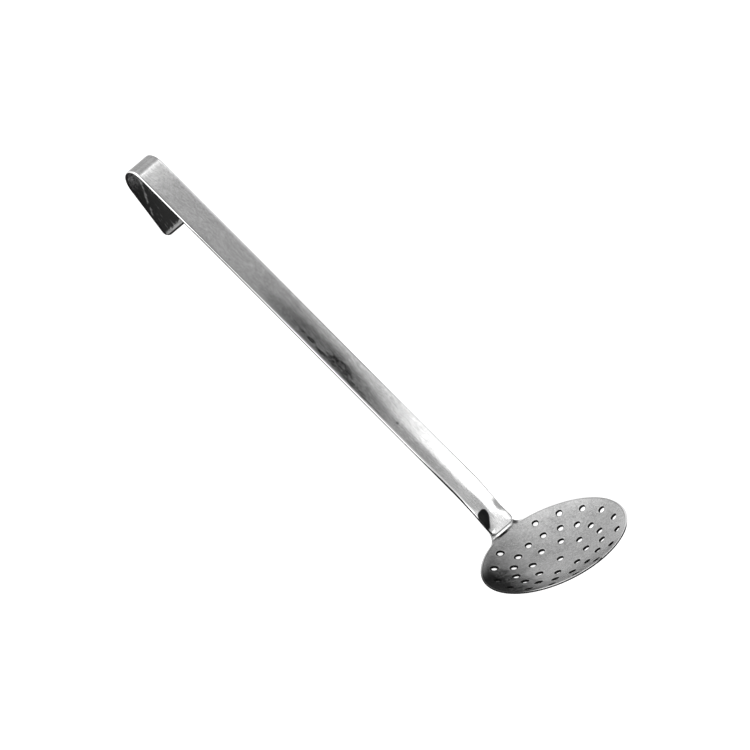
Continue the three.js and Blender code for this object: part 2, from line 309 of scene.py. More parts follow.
def dish_arcs():
    marks = [radius for radius, share, sunk in reversed(HOLE_STEPS)]
    for radius, count, half_field in HOLE_RINGS:
        marks += [ring_arc(radius) - FIELD_REACH, ring_arc(radius) + FIELD_REACH]
    marks += [rim_arc - EDGE_STEP, rim_arc]
    arcs = []
    for start, end in zip(marks, marks[1:]):
        arcs += steps(start, end, RING_STEP)
    return arcs + [rim_arc]


def mark_hole_edge(sheet, point, middle, radius):
    """Notes how close a point is to a hole's edge, and on which side of the hole it lies."""
    outermost = HOLE_STEPS[0][0]
    point[sheet.verts.layers.float["hole_edge"]] = (outermost - radius) / (outermost - HOLE_RADIUS)
    point[sheet.verts.layers.float["hole_side"]] = (point.co - middle).normalized().dot(SHADED_HOLE_SIDE)


def spin_dish():
    sheet = bmesh.new()
    sheet.verts.layers.float_vector.new("blank")
    sheet.verts.layers.float.new("hole_edge")
    sheet.verts.layers.float.new("hole_side")
    sunk_at = {radius: sunk for radius, share, sunk in HOLE_STEPS}
    points = [sheet.verts.new(on_dish(arc, 0, sunk_at.get(arc, 0))) for arc in dish_arcs()]
    edges = [sheet.edges.new(pair) for pair in zip(points, points[1:])]
    bmesh.ops.spin(sheet, geom=points + edges, axis=(0, 0, 1), cent=(0, 0, 0),
                   angle=math.tau, steps=SPOKES, use_merge=True, use_duplicate=False)
    bmesh.ops.remove_doubles(sheet, verts=sheet.verts, dist=SAME_PLACE)
    for point in sheet.verts:
        radius = point.co.xy.length
        if radius < HOLE_STEPS[0][0]:
            mark_hole_edge(sheet, point, on_dish(0, 0), radius)
    return sheet


bowl_sheet = spin_dish()
print("rings:", len(dish_arcs()), "faces in the dish:", len(bowl_sheet.faces))

# %% [markdown]
# Steel shows every flat, so the sheet has to stay smooth right up to each punched edge. A boolean
# would leave thin slivers there. Here a field of faces is taken out instead, and its border is
# extruded inwards until it is a circle. Each step lies a little deeper than the last, because the
# punch draws the edge down with it, and the last one is the burr that it leaves in the hole.

# %% Holes
NECK_CLEAR = math.radians(12)


def hole_places():
    for radius, count, half_field in HOLE_RINGS:
        for i in range(count):
            angle = math.tau * i / count
            from_neck = min(angle, math.tau - angle)
            if radius < HOLE_RINGS[-1][0] or from_neck > NECK_CLEAR:
                yield ring_arc(radius), angle, half_field


def field_of_faces(sheet, arc, angle, half_field):
    found = []
    for face in sheet.faces:
        arm = face.calc_center_median() - sphere_middle
        aside = (math.atan2(arm.y, arm.x) - angle + math.pi) % math.tau - math.pi
        away = math.atan2(arm.xy.length, -arm.z) * dish_middle - arc
        if abs(away) < FIELD_REACH and abs(aside) < half_field * math.tau / SPOKES:
            found.append(face)
    return found


def punch_hole(sheet, arc, angle, half_field):
    faces = field_of_faces(sheet, arc, angle, half_field)
    border = [edge for face in faces for edge in face.edges
              if sum(other in faces for other in edge.link_faces) == 1]
    bmesh.ops.delete(sheet, geom=faces, context="FACES")
    middle = on_dish(arc, angle)
    for radius, share, sunk in HOLE_STEPS:
        made = bmesh.ops.extrude_edge_only(sheet, edges=border)["geom"]
        border = [item for item in made if isinstance(item, bmesh.types.BMEdge)]
        for point in (item for item in made if isinstance(item, bmesh.types.BMVert)):
            place = point.co.lerp(middle + (point.co - middle).normalized() * radius, share)
            point.co = sphere_middle + (place - sphere_middle).normalized() * (dish_middle + sunk)
            mark_hole_edge(sheet, point, middle, radius)
    return len(faces)


punched = [punch_hole(bowl_sheet, *place) for place in hole_places()]
print("holes:", len(punched) + 1, "faces taken out for one:", sorted(set(punched)))

# %% [markdown]
# The lug grows out of the rim, as it does on the real blank. The points of the rim beside the neck
# are first moved out to the line of the fold and to the two fillets. Then the fold's edges are
# extruded row by row up the shared line, and the fillets and the rounded tip give each row its width.
# Every point also remembers where it lay on the flat blank, so that a pattern can follow the sheet.

# %% Lug
LUG_WIDTH = 17.4 * MM
LUG_LENGTH = 24 * MM
LUG_FILLET = 11 * MM
LUG_TIP_ROUNDING = 6 * MM
LUG_STEP = 1 * MM
LUG_TIP_STEPS = 4
FOLD_STEP = FOLD_RADIUS / 4
SNAP = 0.6 * rim_arc * math.tau / SPOKES  # a point of the rim that lies closer to the lug's side moves to it

rim_laid_out = dish_middle * math.tan(rim_angle)
fillet_aside = LUG_WIDTH / 2 + LUG_FILLET
fillet_ahead = math.sqrt((rim_laid_out + LUG_FILLET) ** 2 - fillet_aside**2) - rim_laid_out
fillet_reach = LUG_FILLET * (rim_laid_out + fillet_ahead) / (rim_laid_out + LUG_FILLET)
fillet_touch = fillet_aside * rim_laid_out / (rim_laid_out + LUG_FILLET)


def drawn_in(from_tip, rounding):
    """How far a rounded corner draws the side in, at a distance from the tip."""
    if from_tip >= rounding:
        return 0
    return rounding - math.sqrt(rounding**2 - (rounding - max(from_tip, 0)) ** 2)


def lug_half_width(distance):
    flare = min(max(fillet_ahead - (distance - crease), 0), fillet_reach)
    side = fillet_aside - math.sqrt(LUG_FILLET**2 - flare**2)
    return side - drawn_in(LUG_LENGTH - distance, LUG_TIP_ROUNDING)


def corner_steps(rounding, count):
    """Distances from a tip for the rows of its rounded corners, from the tip inwards."""
    return [rounding * (1 - math.cos(math.radians(90) * i / count)) for i in range(count + 1)]


fold_half_width = lug_half_width(crease)


def blank_to_dish(distance, across):
    lean = rim_angle + (distance - crease) / dish_middle
    turn = across / dish_middle
    return sphere_middle + dish_middle * Vector((
        math.cos(turn) * math.sin(lean), math.sin(turn), -math.cos(turn) * math.cos(lean),
    ))


def dish_to_blank(point):
    arm = (point - sphere_middle) / dish_middle
    distance = crease + (math.atan2(arm.x, -arm.z) - rim_angle) * dish_middle
    return Vector((distance, math.asin(arm.y) * dish_middle, 0))


def open_neck(sheet, blank):
    """Moves the rim beside the neck out to the fold and the fillets, and returns the fold's points."""
    fold = []
    for point in sheet.verts:
        point[blank] = dish_to_blank(point.co)
        across = abs(point[blank].y)
        on_rim = point.is_boundary and point.co.xy.length > BOWL_RADIUS
        if not on_rim or point.co.x < 0 or across > fillet_touch:
            continue
        if abs(across - fold_half_width) < SNAP:
            across = fold_half_width
        distance = crease
        if across > fold_half_width:
            distance += fillet_ahead - math.sqrt(LUG_FILLET**2 - (fillet_aside - across) ** 2)
        point[blank] = Vector((distance, math.copysign(across, point[blank].y), 0))
        point.co = blank_to_dish(distance, point[blank].y)
        if across <= fold_half_width:
            fold.append(point)
    return fold


def lug_rows():
    corners = [LUG_LENGTH - away for away in corner_steps(LUG_TIP_ROUNDING, LUG_TIP_STEPS)]
    rows = steps(crease, 0, FOLD_STEP)[1:]
    return rows + steps(0, LUG_LENGTH - LUG_TIP_ROUNDING, LUG_STEP) + corners[::-1]


def grow_lug(sheet):
    blank = sheet.verts.layers.float_vector["blank"]
    fold = open_neck(sheet, blank)
    border = [edge for edge in sheet.edges
              if edge.is_boundary and edge.verts[0] in fold and edge.verts[1] in fold]
    half_width = fold_half_width
    for distance in lug_rows():
        made = bmesh.ops.extrude_edge_only(sheet, edges=border)["geom"]
        border = [item for item in made if isinstance(item, bmesh.types.BMEdge)]
        narrowing = lug_half_width(distance) / half_width
        half_width = lug_half_width(distance)
        for point in (item for item in made if isinstance(item, bmesh.types.BMVert)):
            across = point[blank].y * narrowing
            point[blank] = Vector((distance, across, 0))
            point.co = formed(distance, across, 0)
    return len(fold)


print("points on the fold:", grow_lug(bowl_sheet), "- fold's half width:",
      round(fold_half_width / MM, 2), "mm")

# %% [markdown]
# Now the sheet gets its wall. Solidify adds it evenly on both sides of the sheet's middle, and Bevel
# rounds what the press cut: the rim more, because it is ground, and the holes less. Each border's
# bevel weight says how much. Weighted Normal then keeps the broad faces flat up to the bevels.

# %% Bowl
BOWL_EDGE_ROUNDING = 0.25 * MM
HOLE_EDGE_SHARE = 0.6  # of the rim's rounding, for the edge of a hole
BEVEL_SEGMENTS = 3


def weigh_borders(sheet):
    weight = sheet.edges.layers.float.new("bevel_weight_edge")
    for edge in sheet.edges:
        if edge.is_boundary:
            inside = all(point.co.xy.length < BOWL_RADIUS - EDGE_STEP for point in edge.verts)
            edge[weight] = HOLE_EDGE_SHARE if inside else 1


def lay_out_pattern(sheet):
    """Gives each face its place on the flat blank, as a UV map in metres."""
    blank = sheet.verts.layers.float_vector["blank"]
    pattern = sheet.loops.layers.uv.new("blank")
    for face in sheet.faces:
        for corner in face.loops:
            corner[pattern].uv = corner.vert[blank].xy


def thicken(piece, thickness, rounding):
    wall = piece.modifiers.new("wall", "SOLIDIFY")
    wall.thickness = thickness
    wall.offset = 0
    wall.use_even_offset = True
    edges = piece.modifiers.new("edges", "BEVEL")
    edges.limit_method = "WEIGHT"
    edges.width = rounding
    edges.segments = BEVEL_SEGMENTS
    edges.use_clamp_overlap = False


def keep_broad_faces_flat(piece):
    normals = piece.modifiers.new("normals", "WEIGHTED_NORMAL")
    normals.mode = "FACE_AREA"
    normals.keep_sharp = False


def make_bowl(material):
    weigh_borders(bowl_sheet)
    lay_out_pattern(bowl_sheet)
    bmesh.ops.recalc_face_normals(bowl_sheet, faces=bowl_sheet.faces)
    bowl = finish_piece("dished_bowl", bowl_sheet, material)
    thicken(bowl, BOWL_SHEET, BOWL_EDGE_ROUNDING)
    keep_broad_faces_flat(bowl)
    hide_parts("bowl")


# %% [markdown]
# The strip is cut and ground flat before it is bent, so it is drawn flat too: an outline with rounded
# ends is extruded to a plate, and its edges are bevelled. Planes then cut it into rows and columns,
# close together where it will be bent. Only then is every point put in its formed place.

# %% Handle
STRIP_WIDTH = 19.4 * MM
STRIP_EDGE_ROUNDING = 0.95 * MM
ARRIS_STRETCH = 1.55  # the rounding reaches this much further across than down
STRETCH_SETS_IN = (6 * MM, 16 * MM)  # from the foot: none, full
STRETCH_RUNS_OUT = (12 * MM, 5 * MM)  # from the hook's tip: full, none
STRIP_FOOT = 0.4 * MM  # distance of the strip's lower end from the end of the fold
STRIP_FOOT_ROUNDING = 4 * MM
HOOK_TIP_ROUNDING = 4.5 * MM
ARRIS_SEGMENTS = 5
CORNER_SEGMENTS = 12
COLUMNS = 14
EDGE_COLUMNS = 2  # not cut at either side, because the rounded arris lies there
NECK_ROW = 1.2 * MM
HANDLE_ROW = 6 * MM
HOOK_ROW = 0.8 * MM
ROWS_PAST_NECK = 2  # close rows that go on past the neck's crown
ROWS_PAST_HOOK = 4  # close rows on the straights, before and after the bend


def plate(start, end, width, start_rounding, end_rounding):
    """A flat plate centred on height 0, with rounded corners and a rounded arris all round."""
    flat = bmesh.new()
    corners = {(start, -1): start_rounding, (end, -1): end_rounding,
               (end, 1): end_rounding, (start, 1): start_rounding}
    points = [flat.verts.new((x, side * width / 2, -STRIP_THICKNESS / 2)) for x, side in corners]
    flat.faces.new(points)
    for point, rounding in zip(points, corners.values()):
        bmesh.ops.bevel(flat, geom=[point], offset=rounding, affect="VERTICES",
                        segments=CORNER_SEGMENTS, profile=0.5, material=-1)
    made = bmesh.ops.extrude_face_region(flat, geom=flat.faces[:], use_keep_orig=True)["geom"]
    lifted = [item for item in made if isinstance(item, bmesh.types.BMVert)]
    bmesh.ops.translate(flat, vec=(0, 0, STRIP_THICKNESS), verts=lifted)
    bmesh.ops.recalc_face_normals(flat, faces=flat.faces)
    arris = [edge for edge in flat.edges if abs(edge.verts[0].co.z - edge.verts[1].co.z) < SAME_PLACE]
    bmesh.ops.bevel(flat, geom=arris, offset=STRIP_EDGE_ROUNDING, affect="EDGES",
                    segments=ARRIS_SEGMENTS, profile=0.5, material=-1)
    return flat


def stretch_arris(flat):
    """Carries the rounding of the long edges further across, fading out at both ends."""
    for point in flat.verts:
        from_edge = STRIP_WIDTH / 2 - abs(point.co.y)
        if from_edge < STRIP_EDGE_ROUNDING + SAME_PLACE:
            clear = ease(*STRETCH_SETS_IN, point.co.x - STRIP_FOOT)
            clear *= ease(*STRETCH_RUNS_OUT[::-1], strip_end - point.co.x)
            wider = from_edge * (1 + clear * (ARRIS_STRETCH - 1))
            point.co.y = math.copysign(STRIP_WIDTH / 2 - wider, point.co.y)


def cut_across(flat, places, direction):
    for place in places:
        bmesh.ops.bisect_plane(flat, geom=flat.verts[:] + flat.edges[:] + flat.faces[:],
                               dist=SAME_PLACE, plane_co=direction * place, plane_no=direction)


def strip_rows():
    neck_end = NECK_CROWN[2] + ROWS_PAST_NECK * NECK_ROW
    foot_end = STRIP_FOOT + STRIP_FOOT_ROUNDING
    before_hook = hook_start - ROWS_PAST_HOOK * HOOK_ROW
    after_hook = hook_end + ROWS_PAST_HOOK * HOOK_ROW
    rows = steps(foot_end, neck_end, NECK_ROW) + steps(neck_end, before_hook, HANDLE_ROW)
    rows += steps(before_hook, after_hook, HOOK_ROW)
    rows += steps(after_hook, strip_end - HOOK_TIP_ROUNDING, HANDLE_ROW)
    return rows + steps(STRIP_FOOT, foot_end, NECK_ROW)[1:]


def blank_pattern(flat):
    """Unrolls the section: the back of the strip lies beside its front on the pattern."""
    pattern = flat.loops.layers.uv.new("blank")
    for face in flat.faces:
        for corner in face.loops:
            place = corner.vert.co
            corner[pattern].uv = (place.x, place.y if face.normal.z > 0 else STRIP_WIDTH * 2 - place.y)


def bend_strip(flat):
    """Forms the plate, and keeps its width at the middle of its thickness."""
    for point in flat.verts:
        distance, across, height = point.co
        across /= 1 + crown_at(distance) * lap_offset
        point.co = formed(distance, across, lap_offset + height)


def make_handle(material):
    flat = plate(STRIP_FOOT, strip_end, STRIP_WIDTH, STRIP_FOOT_ROUNDING, HOOK_TIP_ROUNDING)
    cut_across(flat, strip_rows(), Vector((1, 0, 0)))
    stretch_arris(flat)
    inner = range(EDGE_COLUMNS, COLUMNS - EDGE_COLUMNS + 1)
    columns = [STRIP_WIDTH * (i / COLUMNS - 0.5) for i in inner]
    cut_across(flat, columns, Vector((0, 1, 0)))
    blank_pattern(flat)
    bend_strip(flat)
    handle = finish_piece("strip_handle", flat, material)
    keep_broad_faces_flat(handle)
    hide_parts("handle")


# %% [markdown]
# Two spot welds hold the strip to the lug. The electrodes press both sheets together and melt a
# small disc between them. Only its edge can be seen, in the narrow gap of the lap, so a thin plain
# disc is enough.

# %% Spot welds
WELD_DIAMETER = 4.4 * MM
WELD_POSITIONS = {"spot_weld_lower": 8.5 * MM, "spot_weld_upper": 17.5 * MM}
WELD_FIT = 0.01 * MM
WELD_SEGMENTS = 40


def make_weld(node, distance, material):
    disc = bmesh.new()
    bmesh.ops.create_circle(disc, cap_ends=True, radius=WELD_DIAMETER / 2, segments=WELD_SEGMENTS)
    made = bmesh.ops.extrude_face_region(disc, geom=disc.faces[:], use_keep_orig=True)["geom"]
    lifted = [item for item in made if isinstance(item, bmesh.types.BMVert)]
    bmesh.ops.translate(disc, vec=(0, 0, LAP_GAP - 2 * WELD_FIT), verts=lifted)
    bmesh.ops.recalc_face_normals(disc, faces=disc.faces)
    for point in disc.verts:
        height = BOWL_SHEET / 2 + WELD_FIT + point.co.z
        point.co = formed(distance + point.co.x, point.co.y, height)
    weld = finish_piece(node + "_nugget", disc, material)
    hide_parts(node)


# %% [markdown]
# A material is a small network of nodes, and a few short helpers keep it readable. One adds a node,
# some do a sum, and some turn a value into a soft mask. Greys are plain numbers here, because steel
# has next to no hue, and a number can feed a colour.

# %% Helpers for materials
BLOT_FULL = 0.15  # share of a blot's reach, squared, within which it is full


def node(tree, kind, inputs, **settings):
    """Adds a node. Each input is a number or the output of another node."""
    made = tree.nodes.new(kind)
    for name, value in settings.items():
        setattr(made, name, value)
    for socket, value in inputs.items():
        if isinstance(value, bpy.types.NodeSocket):
            tree.links.new(value, made.inputs[socket])
        else:
            made.inputs[socket].default_value = value
    return made


def sums(tree, operation, *values):
    return node(tree, "ShaderNodeMath", dict(enumerate(values)), operation=operation).outputs[0]


def times(tree, *values):
    """The product of the values. For masks, it is 1 only where all of them are."""
    product = values[0]
    for value in values[1:]:
        product = sums(tree, "MULTIPLY", product, value)
    return product


def plus(tree, base, value, strength):
    """The base, with a varying value added at some strength."""
    return sums(tree, "MULTIPLY_ADD", value, strength, base)


def rise(tree, value, low, high):
    """A mask that is 0 below low and 1 above high. With low above high it falls instead."""
    return node(tree, "ShaderNodeMapRange", {"Value": value, "From Min": low, "From Max": high},
                interpolation_type="SMOOTHSTEP").outputs["Result"]


def between(tree, value, limits):
    """A mask with four limits: it starts at the first, is full from the second to the third, and ends."""
    start, full, full_until, end = limits
    return times(tree, rise(tree, value, start, full), rise(tree, value, end, full_until))


def choose(tree, mask, without, within):
    """The first value where the mask is 0, and the second where it is 1."""
    return node(tree, "ShaderNodeMix", {"Factor": mask, "A": without, "B": within}).outputs["Result"]


def toned(tree, grey, mask, tone):
    """The grey, times the tone where the mask is 1."""
    return times(tree, grey, choose(tree, mask, 1, tone))


def blot(tree, x, y, middle, reach):
    """A soft oval mask about a place of the blank, 0 beyond its reach along and across."""
    along_it = sums(tree, "MULTIPLY_ADD", x, 1 / reach[0], -middle[0] / reach[0])
    across_it = sums(tree, "MULTIPLY_ADD", y, 1 / reach[1], -middle[1] / reach[1])
    away = sums(tree, "MULTIPLY_ADD", along_it, along_it, times(tree, across_it, across_it))
    return rise(tree, away, 1, BLOT_FULL)


def node_group(name, inputs, outputs):
    group = bpy.data.node_groups.new(name, "ShaderNodeTree")
    for title, kind in inputs:
        group.interface.new_socket(title, in_out="INPUT", socket_type=kind)
    for title in outputs:
        group.interface.new_socket(title, in_out="OUTPUT", socket_type="NodeSocketFloat")
    return group, group.nodes.new("NodeGroupInput").outputs, group.nodes.new("NodeGroupOutput").inputs


# %% [markdown]
# Rolled and ground sheet carries fine lines along one direction. Noise that is stretched along the
# blank gives them, and because it is laid out on the flat blank, the lines follow each bend. The
# second group makes the soft blotches that hands, fat and scouring leave. Both give values about 0.

# %% Grain and smudges
def make_grain_group():
    group, given, result = node_group(
        "rolled_grain", [("Place", "NodeSocketVector"), ("Length", "NodeSocketFloat"),
                         ("Width", "NodeSocketFloat")], ["Grain"])
    cell = node(group, "ShaderNodeCombineXYZ", {"X": given["Length"], "Y": given["Width"],
                                                "Z": given["Width"]}).outputs[0]
    place = node(group, "ShaderNodeVectorMath", {0: given["Place"], 1: cell},
                 operation="DIVIDE").outputs[0]
    noise = node(group, "ShaderNodeTexNoise", {"Vector": place, "Scale": 1, "Detail": 4,
                                               "Roughness": 0.6}).outputs["Fac"]
    centred = plus(group, -1, noise, 2)
    group.links.new(centred, result["Grain"])
    return group


def make_smudge_group():
    group, given, result = node_group(
        "smudges", [("Place", "NodeSocketVector"), ("Size", "NodeSocketFloat")], ["Smudge"])
    scale = sums(group, "DIVIDE", 1, given["Size"])
    noise = node(group, "ShaderNodeTexNoise", {"Vector": given["Place"], "Scale": scale, "Detail": 5,
                                               "Roughness": 0.65, "Distortion": 0.6}).outputs["Fac"]
    centred = plus(group, -1, noise, 2)
    group.links.new(centred, result["Smudge"])
    return group


grain_group = make_grain_group()
smudge_group = make_smudge_group()


def grain(tree, place, length, width):
    return node(tree, "ShaderNodeGroup", {"Place": place, "Length": length, "Width": width},
                node_tree=grain_group).outputs["Grain"]


def smudge(tree, place, size):
    return node(tree, "ShaderNodeGroup", {"Place": place, "Size": size},
                node_tree=smudge_group).outputs["Smudge"]


def new_steel(name):
    material = bpy.data.materials.new(name)
    material.use_nodes = True
    shader = material.node_tree.nodes["Principled BSDF"]
    shader.inputs["Metallic"].default_value = 1
    return material, material.node_tree, shader


def finish_surface(tree, shader, grey, roughness, height, depth):
    """Feeds the shader; the relief goes through a Bump node whose distance is its real depth."""
    tree.links.new(grey, shader.inputs["Base Color"])
    tree.links.new(roughness, shader.inputs["Roughness"])
    bump = node(tree, "ShaderNodeBump", {"Height": height, "Strength": 1, "Distance": depth})
    tree.links.new(bump.outputs["Normal"], shader.inputs["Normal"])


print("groups:", [group.name for group in bpy.data.node_groups])

# %% [markdown]
# Every mark on the bowl has its place on the flat blank, and the map tells it: how far a point lies
# from the middle of the dish, and at which angle from the neck. Angles grow towards the side that
# is nearer to the camera. The smudges and lines that several marks share are made here too.

# %% Where a point lies on the bowl
dish_axis = crease - rim_arc  # where the middle of the dish lies on the blank
COARSE_SMUDGE = 14 * MM
FINE_SMUDGE = 1.6 * MM
SCOUR_LINES = (9 * MM, 0.5 * MM)  # their length and width


def degrees(*values):
    return [math.radians(value) for value in values]


def blank_place(tree):
    """The map of the flat blank, as a vector and as its two numbers."""
    place = node(tree, "ShaderNodeUVMap", {}, uv_map="blank").outputs["UV"]
    parts = node(tree, "ShaderNodeSeparateXYZ", {"Vector": place}).outputs
    return place, parts["X"], parts["Y"]


def bowl_place(tree):
    blank, x, y = blank_place(tree)
    spot = node(tree, "ShaderNodeTexCoord", {}).outputs["Object"]
    ahead = sums(tree, "SUBTRACT", x, dish_axis)
    squares = sums(tree, "MULTIPLY_ADD", ahead, ahead, times(tree, y, y))
    return SimpleNamespace(
        x=x, y=y, spot=spot, ahead=ahead, arc=sums(tree, "SQRT", squares),
        angle=sums(tree, "ARCTAN2", y, ahead), scour=grain(tree, blank, *SCOUR_LINES),
        coarse=smudge(tree, spot, COARSE_SMUDGE), fine=smudge(tree, spot, FINE_SMUDGE),
    )


def distance_towards(tree, at, angle):
    """How far a point lies from the middle of the dish in one direction."""
    return sums(tree, "MULTIPLY_ADD", at.ahead, math.cos(angle), times(tree, at.y, math.sin(angle)))


print("middle of the dish on the blank:", round(dish_axis / MM, 1), "mm")

# %% [markdown]
# The bowl has been scoured for years, so its face is an even satin. Smudges of three sizes and the
# lines of the scourer are enough for it. None of them is strong, because a satin is seen as a
# whole, and a strong pattern would look like dirt.

# %% Satin
SATIN_GREY = 0.3
SMALLEST_SMUDGE = 0.7 * MM
SATIN_STRENGTHS = (0.10, 0.2, 0.2, 0.06)  # of the coarse, fine and smallest smudges, and the lines


def satin_grey(tree, at):
    grey = SATIN_GREY
    smallest = smudge(tree, at.spot, SMALLEST_SMUDGE)
    for pattern, strength in zip((at.coarse, at.fine, smallest, at.scour), SATIN_STRENGTHS):
        grey = plus(tree, grey, pattern, strength)
    return grey


# %% [markdown]
# One side of the bowl is painted dark, as a painted dark reflection. The zone is a wedge of angles, and it
# grows denser outwards. Two sizes of smudge shift its border, so that it is ragged. Near the neck the rim's
# part of it is painted much less dark.

# %% Painted dark zone
DARK_ZONE_ANGLES = degrees(-12, 62)  # none, full
DARK_ZONE_TOWARDS = math.radians(76)
DARK_ZONE_OUTWARDS = (13 * MM, 44 * MM)  # from the middle: none, full
DARK_ZONE_SMUDGE = 5 * MM
DARK_ZONE_SHIFTS = (10 * MM, 14 * MM)  # how far the fine and the dark zone's smudges move the border
# how dark the painted dark reflection makes the bowl
DARK_REFLECTION_TONE = 0.015
PALER_RIM = (5 * MM, 1 * MM)  # from the rim: none, full
PALER_ANGLES = degrees(63, 34)
PALER_SHARE = 0.6


def painted_dark_zone(tree, at):
    border = distance_towards(tree, at, DARK_ZONE_TOWARDS)
    for pattern, shift in zip((at.fine, smudge(tree, at.spot, DARK_ZONE_SMUDGE)), DARK_ZONE_SHIFTS):
        border = plus(tree, border, pattern, shift)
    dark_side = times(tree, rise(tree, at.angle, *DARK_ZONE_ANGLES), rise(tree, border, *DARK_ZONE_OUTWARDS))
    paler = times(tree, rise(tree, at.arc, rim_arc - PALER_RIM[0], rim_arc - PALER_RIM[1]),
                  rise(tree, at.angle, *PALER_ANGLES))
    return times(tree, dark_side, plus(tree, 1, paler, -PALER_SHARE))


# %% [markdown]
# A painted highlight runs as a light line beside the crease. In the nearer part of the crease lies a painted
# shade line too, and a painted shadow sits in its far corner. The lug lies in painted half shade, lighter on
# its far side. All are bands and blots that are placed from the crease.

# %% Crease and lug
LUG_STARTS = (1.6 * MM, 2.6 * MM)  # beyond the crease: none, full
LUG_TURNS = (-1 * MM, 5 * MM)  # across the lug, from its far grey to its near grey
# painted half shade on the lug, on its far side and on its near side
LUG_SHADE_GREYS = (0.6, 0.25)
CREASE_LINE_WIDTH = 1.2 * MM
CREASE_LINE_HALF = 6.5 * MM  # half of its length
CREASE_LINE_FADE = CREASE_LINE_HALF / 4
CREASE_SHADE = (-1.4, -1.1, 0.2, 0.5)  # four limits from the crease, in widths of the crease line
CREASE_HIGHLIGHT = (0.2, 0.5, 1.6, 1.9)
CREASE_SHADE_AND_HIGHLIGHT_GREYS = (0.02, 0.85)  # of the painted shade line and the painted highlight
SHADED_CORNER = ((crease + 1 * MM, -10 * MM), (3.2 * MM, 2.6 * MM))  # its middle and its reach
# painted shadow in the far corner of the crease
CORNER_SHADOW_GREY = 0.03


def with_crease(tree, at, grey):
    on_lug = rise(tree, at.x, crease + LUG_STARTS[0], crease + LUG_STARTS[1])
    grey = choose(tree, on_lug, grey, choose(tree, rise(tree, at.y, *LUG_TURNS), *LUG_SHADE_GREYS))
    widths = sums(tree, "DIVIDE", sums(tree, "SUBTRACT", at.x, crease), CREASE_LINE_WIDTH)
    length = rise(tree, sums(tree, "ABSOLUTE", at.y), CREASE_LINE_HALF + CREASE_LINE_FADE, CREASE_LINE_HALF - CREASE_LINE_FADE)
    light = times(tree, between(tree, widths, CREASE_HIGHLIGHT), length)
    dark = times(tree, between(tree, widths, CREASE_SHADE), length, rise(tree, at.y, -2 * CREASE_LINE_FADE, 0))
    grey = choose(tree, light, grey, CREASE_SHADE_AND_HIGHLIGHT_GREYS[1])
    grey = choose(tree, dark, grey, CREASE_SHADE_AND_HIGHLIGHT_GREYS[0])
    return choose(tree, blot(tree, at.x, at.y, *SHADED_CORNER), grey, CORNER_SHADOW_GREY)


# %% [markdown]
# The rim is ground, and ground steel mirrors whatever lies in front of it, so its grey is a painted
# reflection: light on the far side, dark along the painted dark zone, and a nearly white painted highlight
# on the near side. The far side inside it is painted a little lighter. Painted shade gives a darker line
# inside it all round, and a darker band on the near side. The edge underneath is painted in shade. Metal
# turns bright at a grazing angle however dark it is, unless it is rough, so this edge is rough too.

# %% Rim
RIM_LINE = 0.7 * MM
RIM_STARTS = (0.9 * RIM_LINE, 0.6 * RIM_LINE)  # from the rim: none, full
CLEAR_OF_LUG = (10 * MM, 15 * MM)  # from the middle of the lug: none, full
NEAR_BAND = (6 * MM, 4 * MM)  # from the rim, likewise
NEAR_SIDE = degrees(106, 116, 165, 172)
RIM_HIGHLIGHT_ANGLES = degrees(108, 142, 172, 179)
BY_DARK_ZONE = degrees(34, 63)  # where the far side's grey turns to the next
RIM_REFLECTION_GREYS = (0.6, 0.05, 0.95)  # painted reflection on the far side and by the dark zone, and the painted highlight
# painted shade of the near band and of the line inside the rim
NEAR_SHADE_TONE = 0.45
RIM_LINE_SHADE_TONE = 0.55
FAR_SIDE_LIGHT = (degrees(0, -23), 14 * MM, 0.08)  # painted light on the far side: angles, reach from the rim, how much
UNDERSIDE = (0.45 * MM, 0.25 * MM)  # how far inside the sheet's middle its shade starts and is full
UNDERSIDE_ANGLES = (degrees(52, 69), degrees(-132, -149))
# painted shade on the edge underneath
SHADE_GREY = 0.02
DULL_ROUGHNESS = 0.95


def rim_masks(tree, at):
    clear = sums(tree, "MAXIMUM", rise(tree, sums(tree, "ABSOLUTE", at.y), *CLEAR_OF_LUG),
                 sums(tree, "LESS_THAN", at.x, dish_axis))
    line = times(tree, rise(tree, at.arc, rim_arc - 2 * RIM_LINE, rim_arc - RIM_LINE), clear)
    rim = times(tree, rise(tree, at.arc, rim_arc - RIM_STARTS[0], rim_arc - RIM_STARTS[1]), clear)
    down = node(tree, "ShaderNodeVectorMath", {0: at.spot, 1: to_table @ sphere_middle},
                operation="DISTANCE").outputs["Value"]
    shaded = sums(tree, "MAXIMUM", *(rise(tree, at.angle, *limits) for limits in UNDERSIDE_ANGLES))
    under = rise(tree, down, dish_middle - UNDERSIDE[0], dish_middle - UNDERSIDE[1])
    return line, rim, times(tree, under, rim, shaded)


def with_rim(tree, at, grey, line, rim, under):
    angles, reach, strength = FAR_SIDE_LIGHT
    far = times(tree, rise(tree, at.angle, *angles), rise(tree, at.arc, rim_arc - reach, rim_arc))
    grey = plus(tree, grey, far, strength)
    near_shade = times(tree, rise(tree, at.arc, rim_arc - NEAR_BAND[0], rim_arc - NEAR_BAND[1]),
                 between(tree, at.angle, NEAR_SIDE))
    grey = toned(tree, grey, near_shade, NEAR_SHADE_TONE)
    grey = toned(tree, grey, line, RIM_LINE_SHADE_TONE)
    rim_reflection = choose(tree, rise(tree, at.angle, *BY_DARK_ZONE), *RIM_REFLECTION_GREYS[:2])
    rim_reflection = choose(tree, between(tree, at.angle, RIM_HIGHLIGHT_ANGLES), rim_reflection, RIM_REFLECTION_GREYS[2])
    grey = choose(tree, rim, grey, rim_reflection)
    return choose(tree, under, grey, SHADE_GREY)


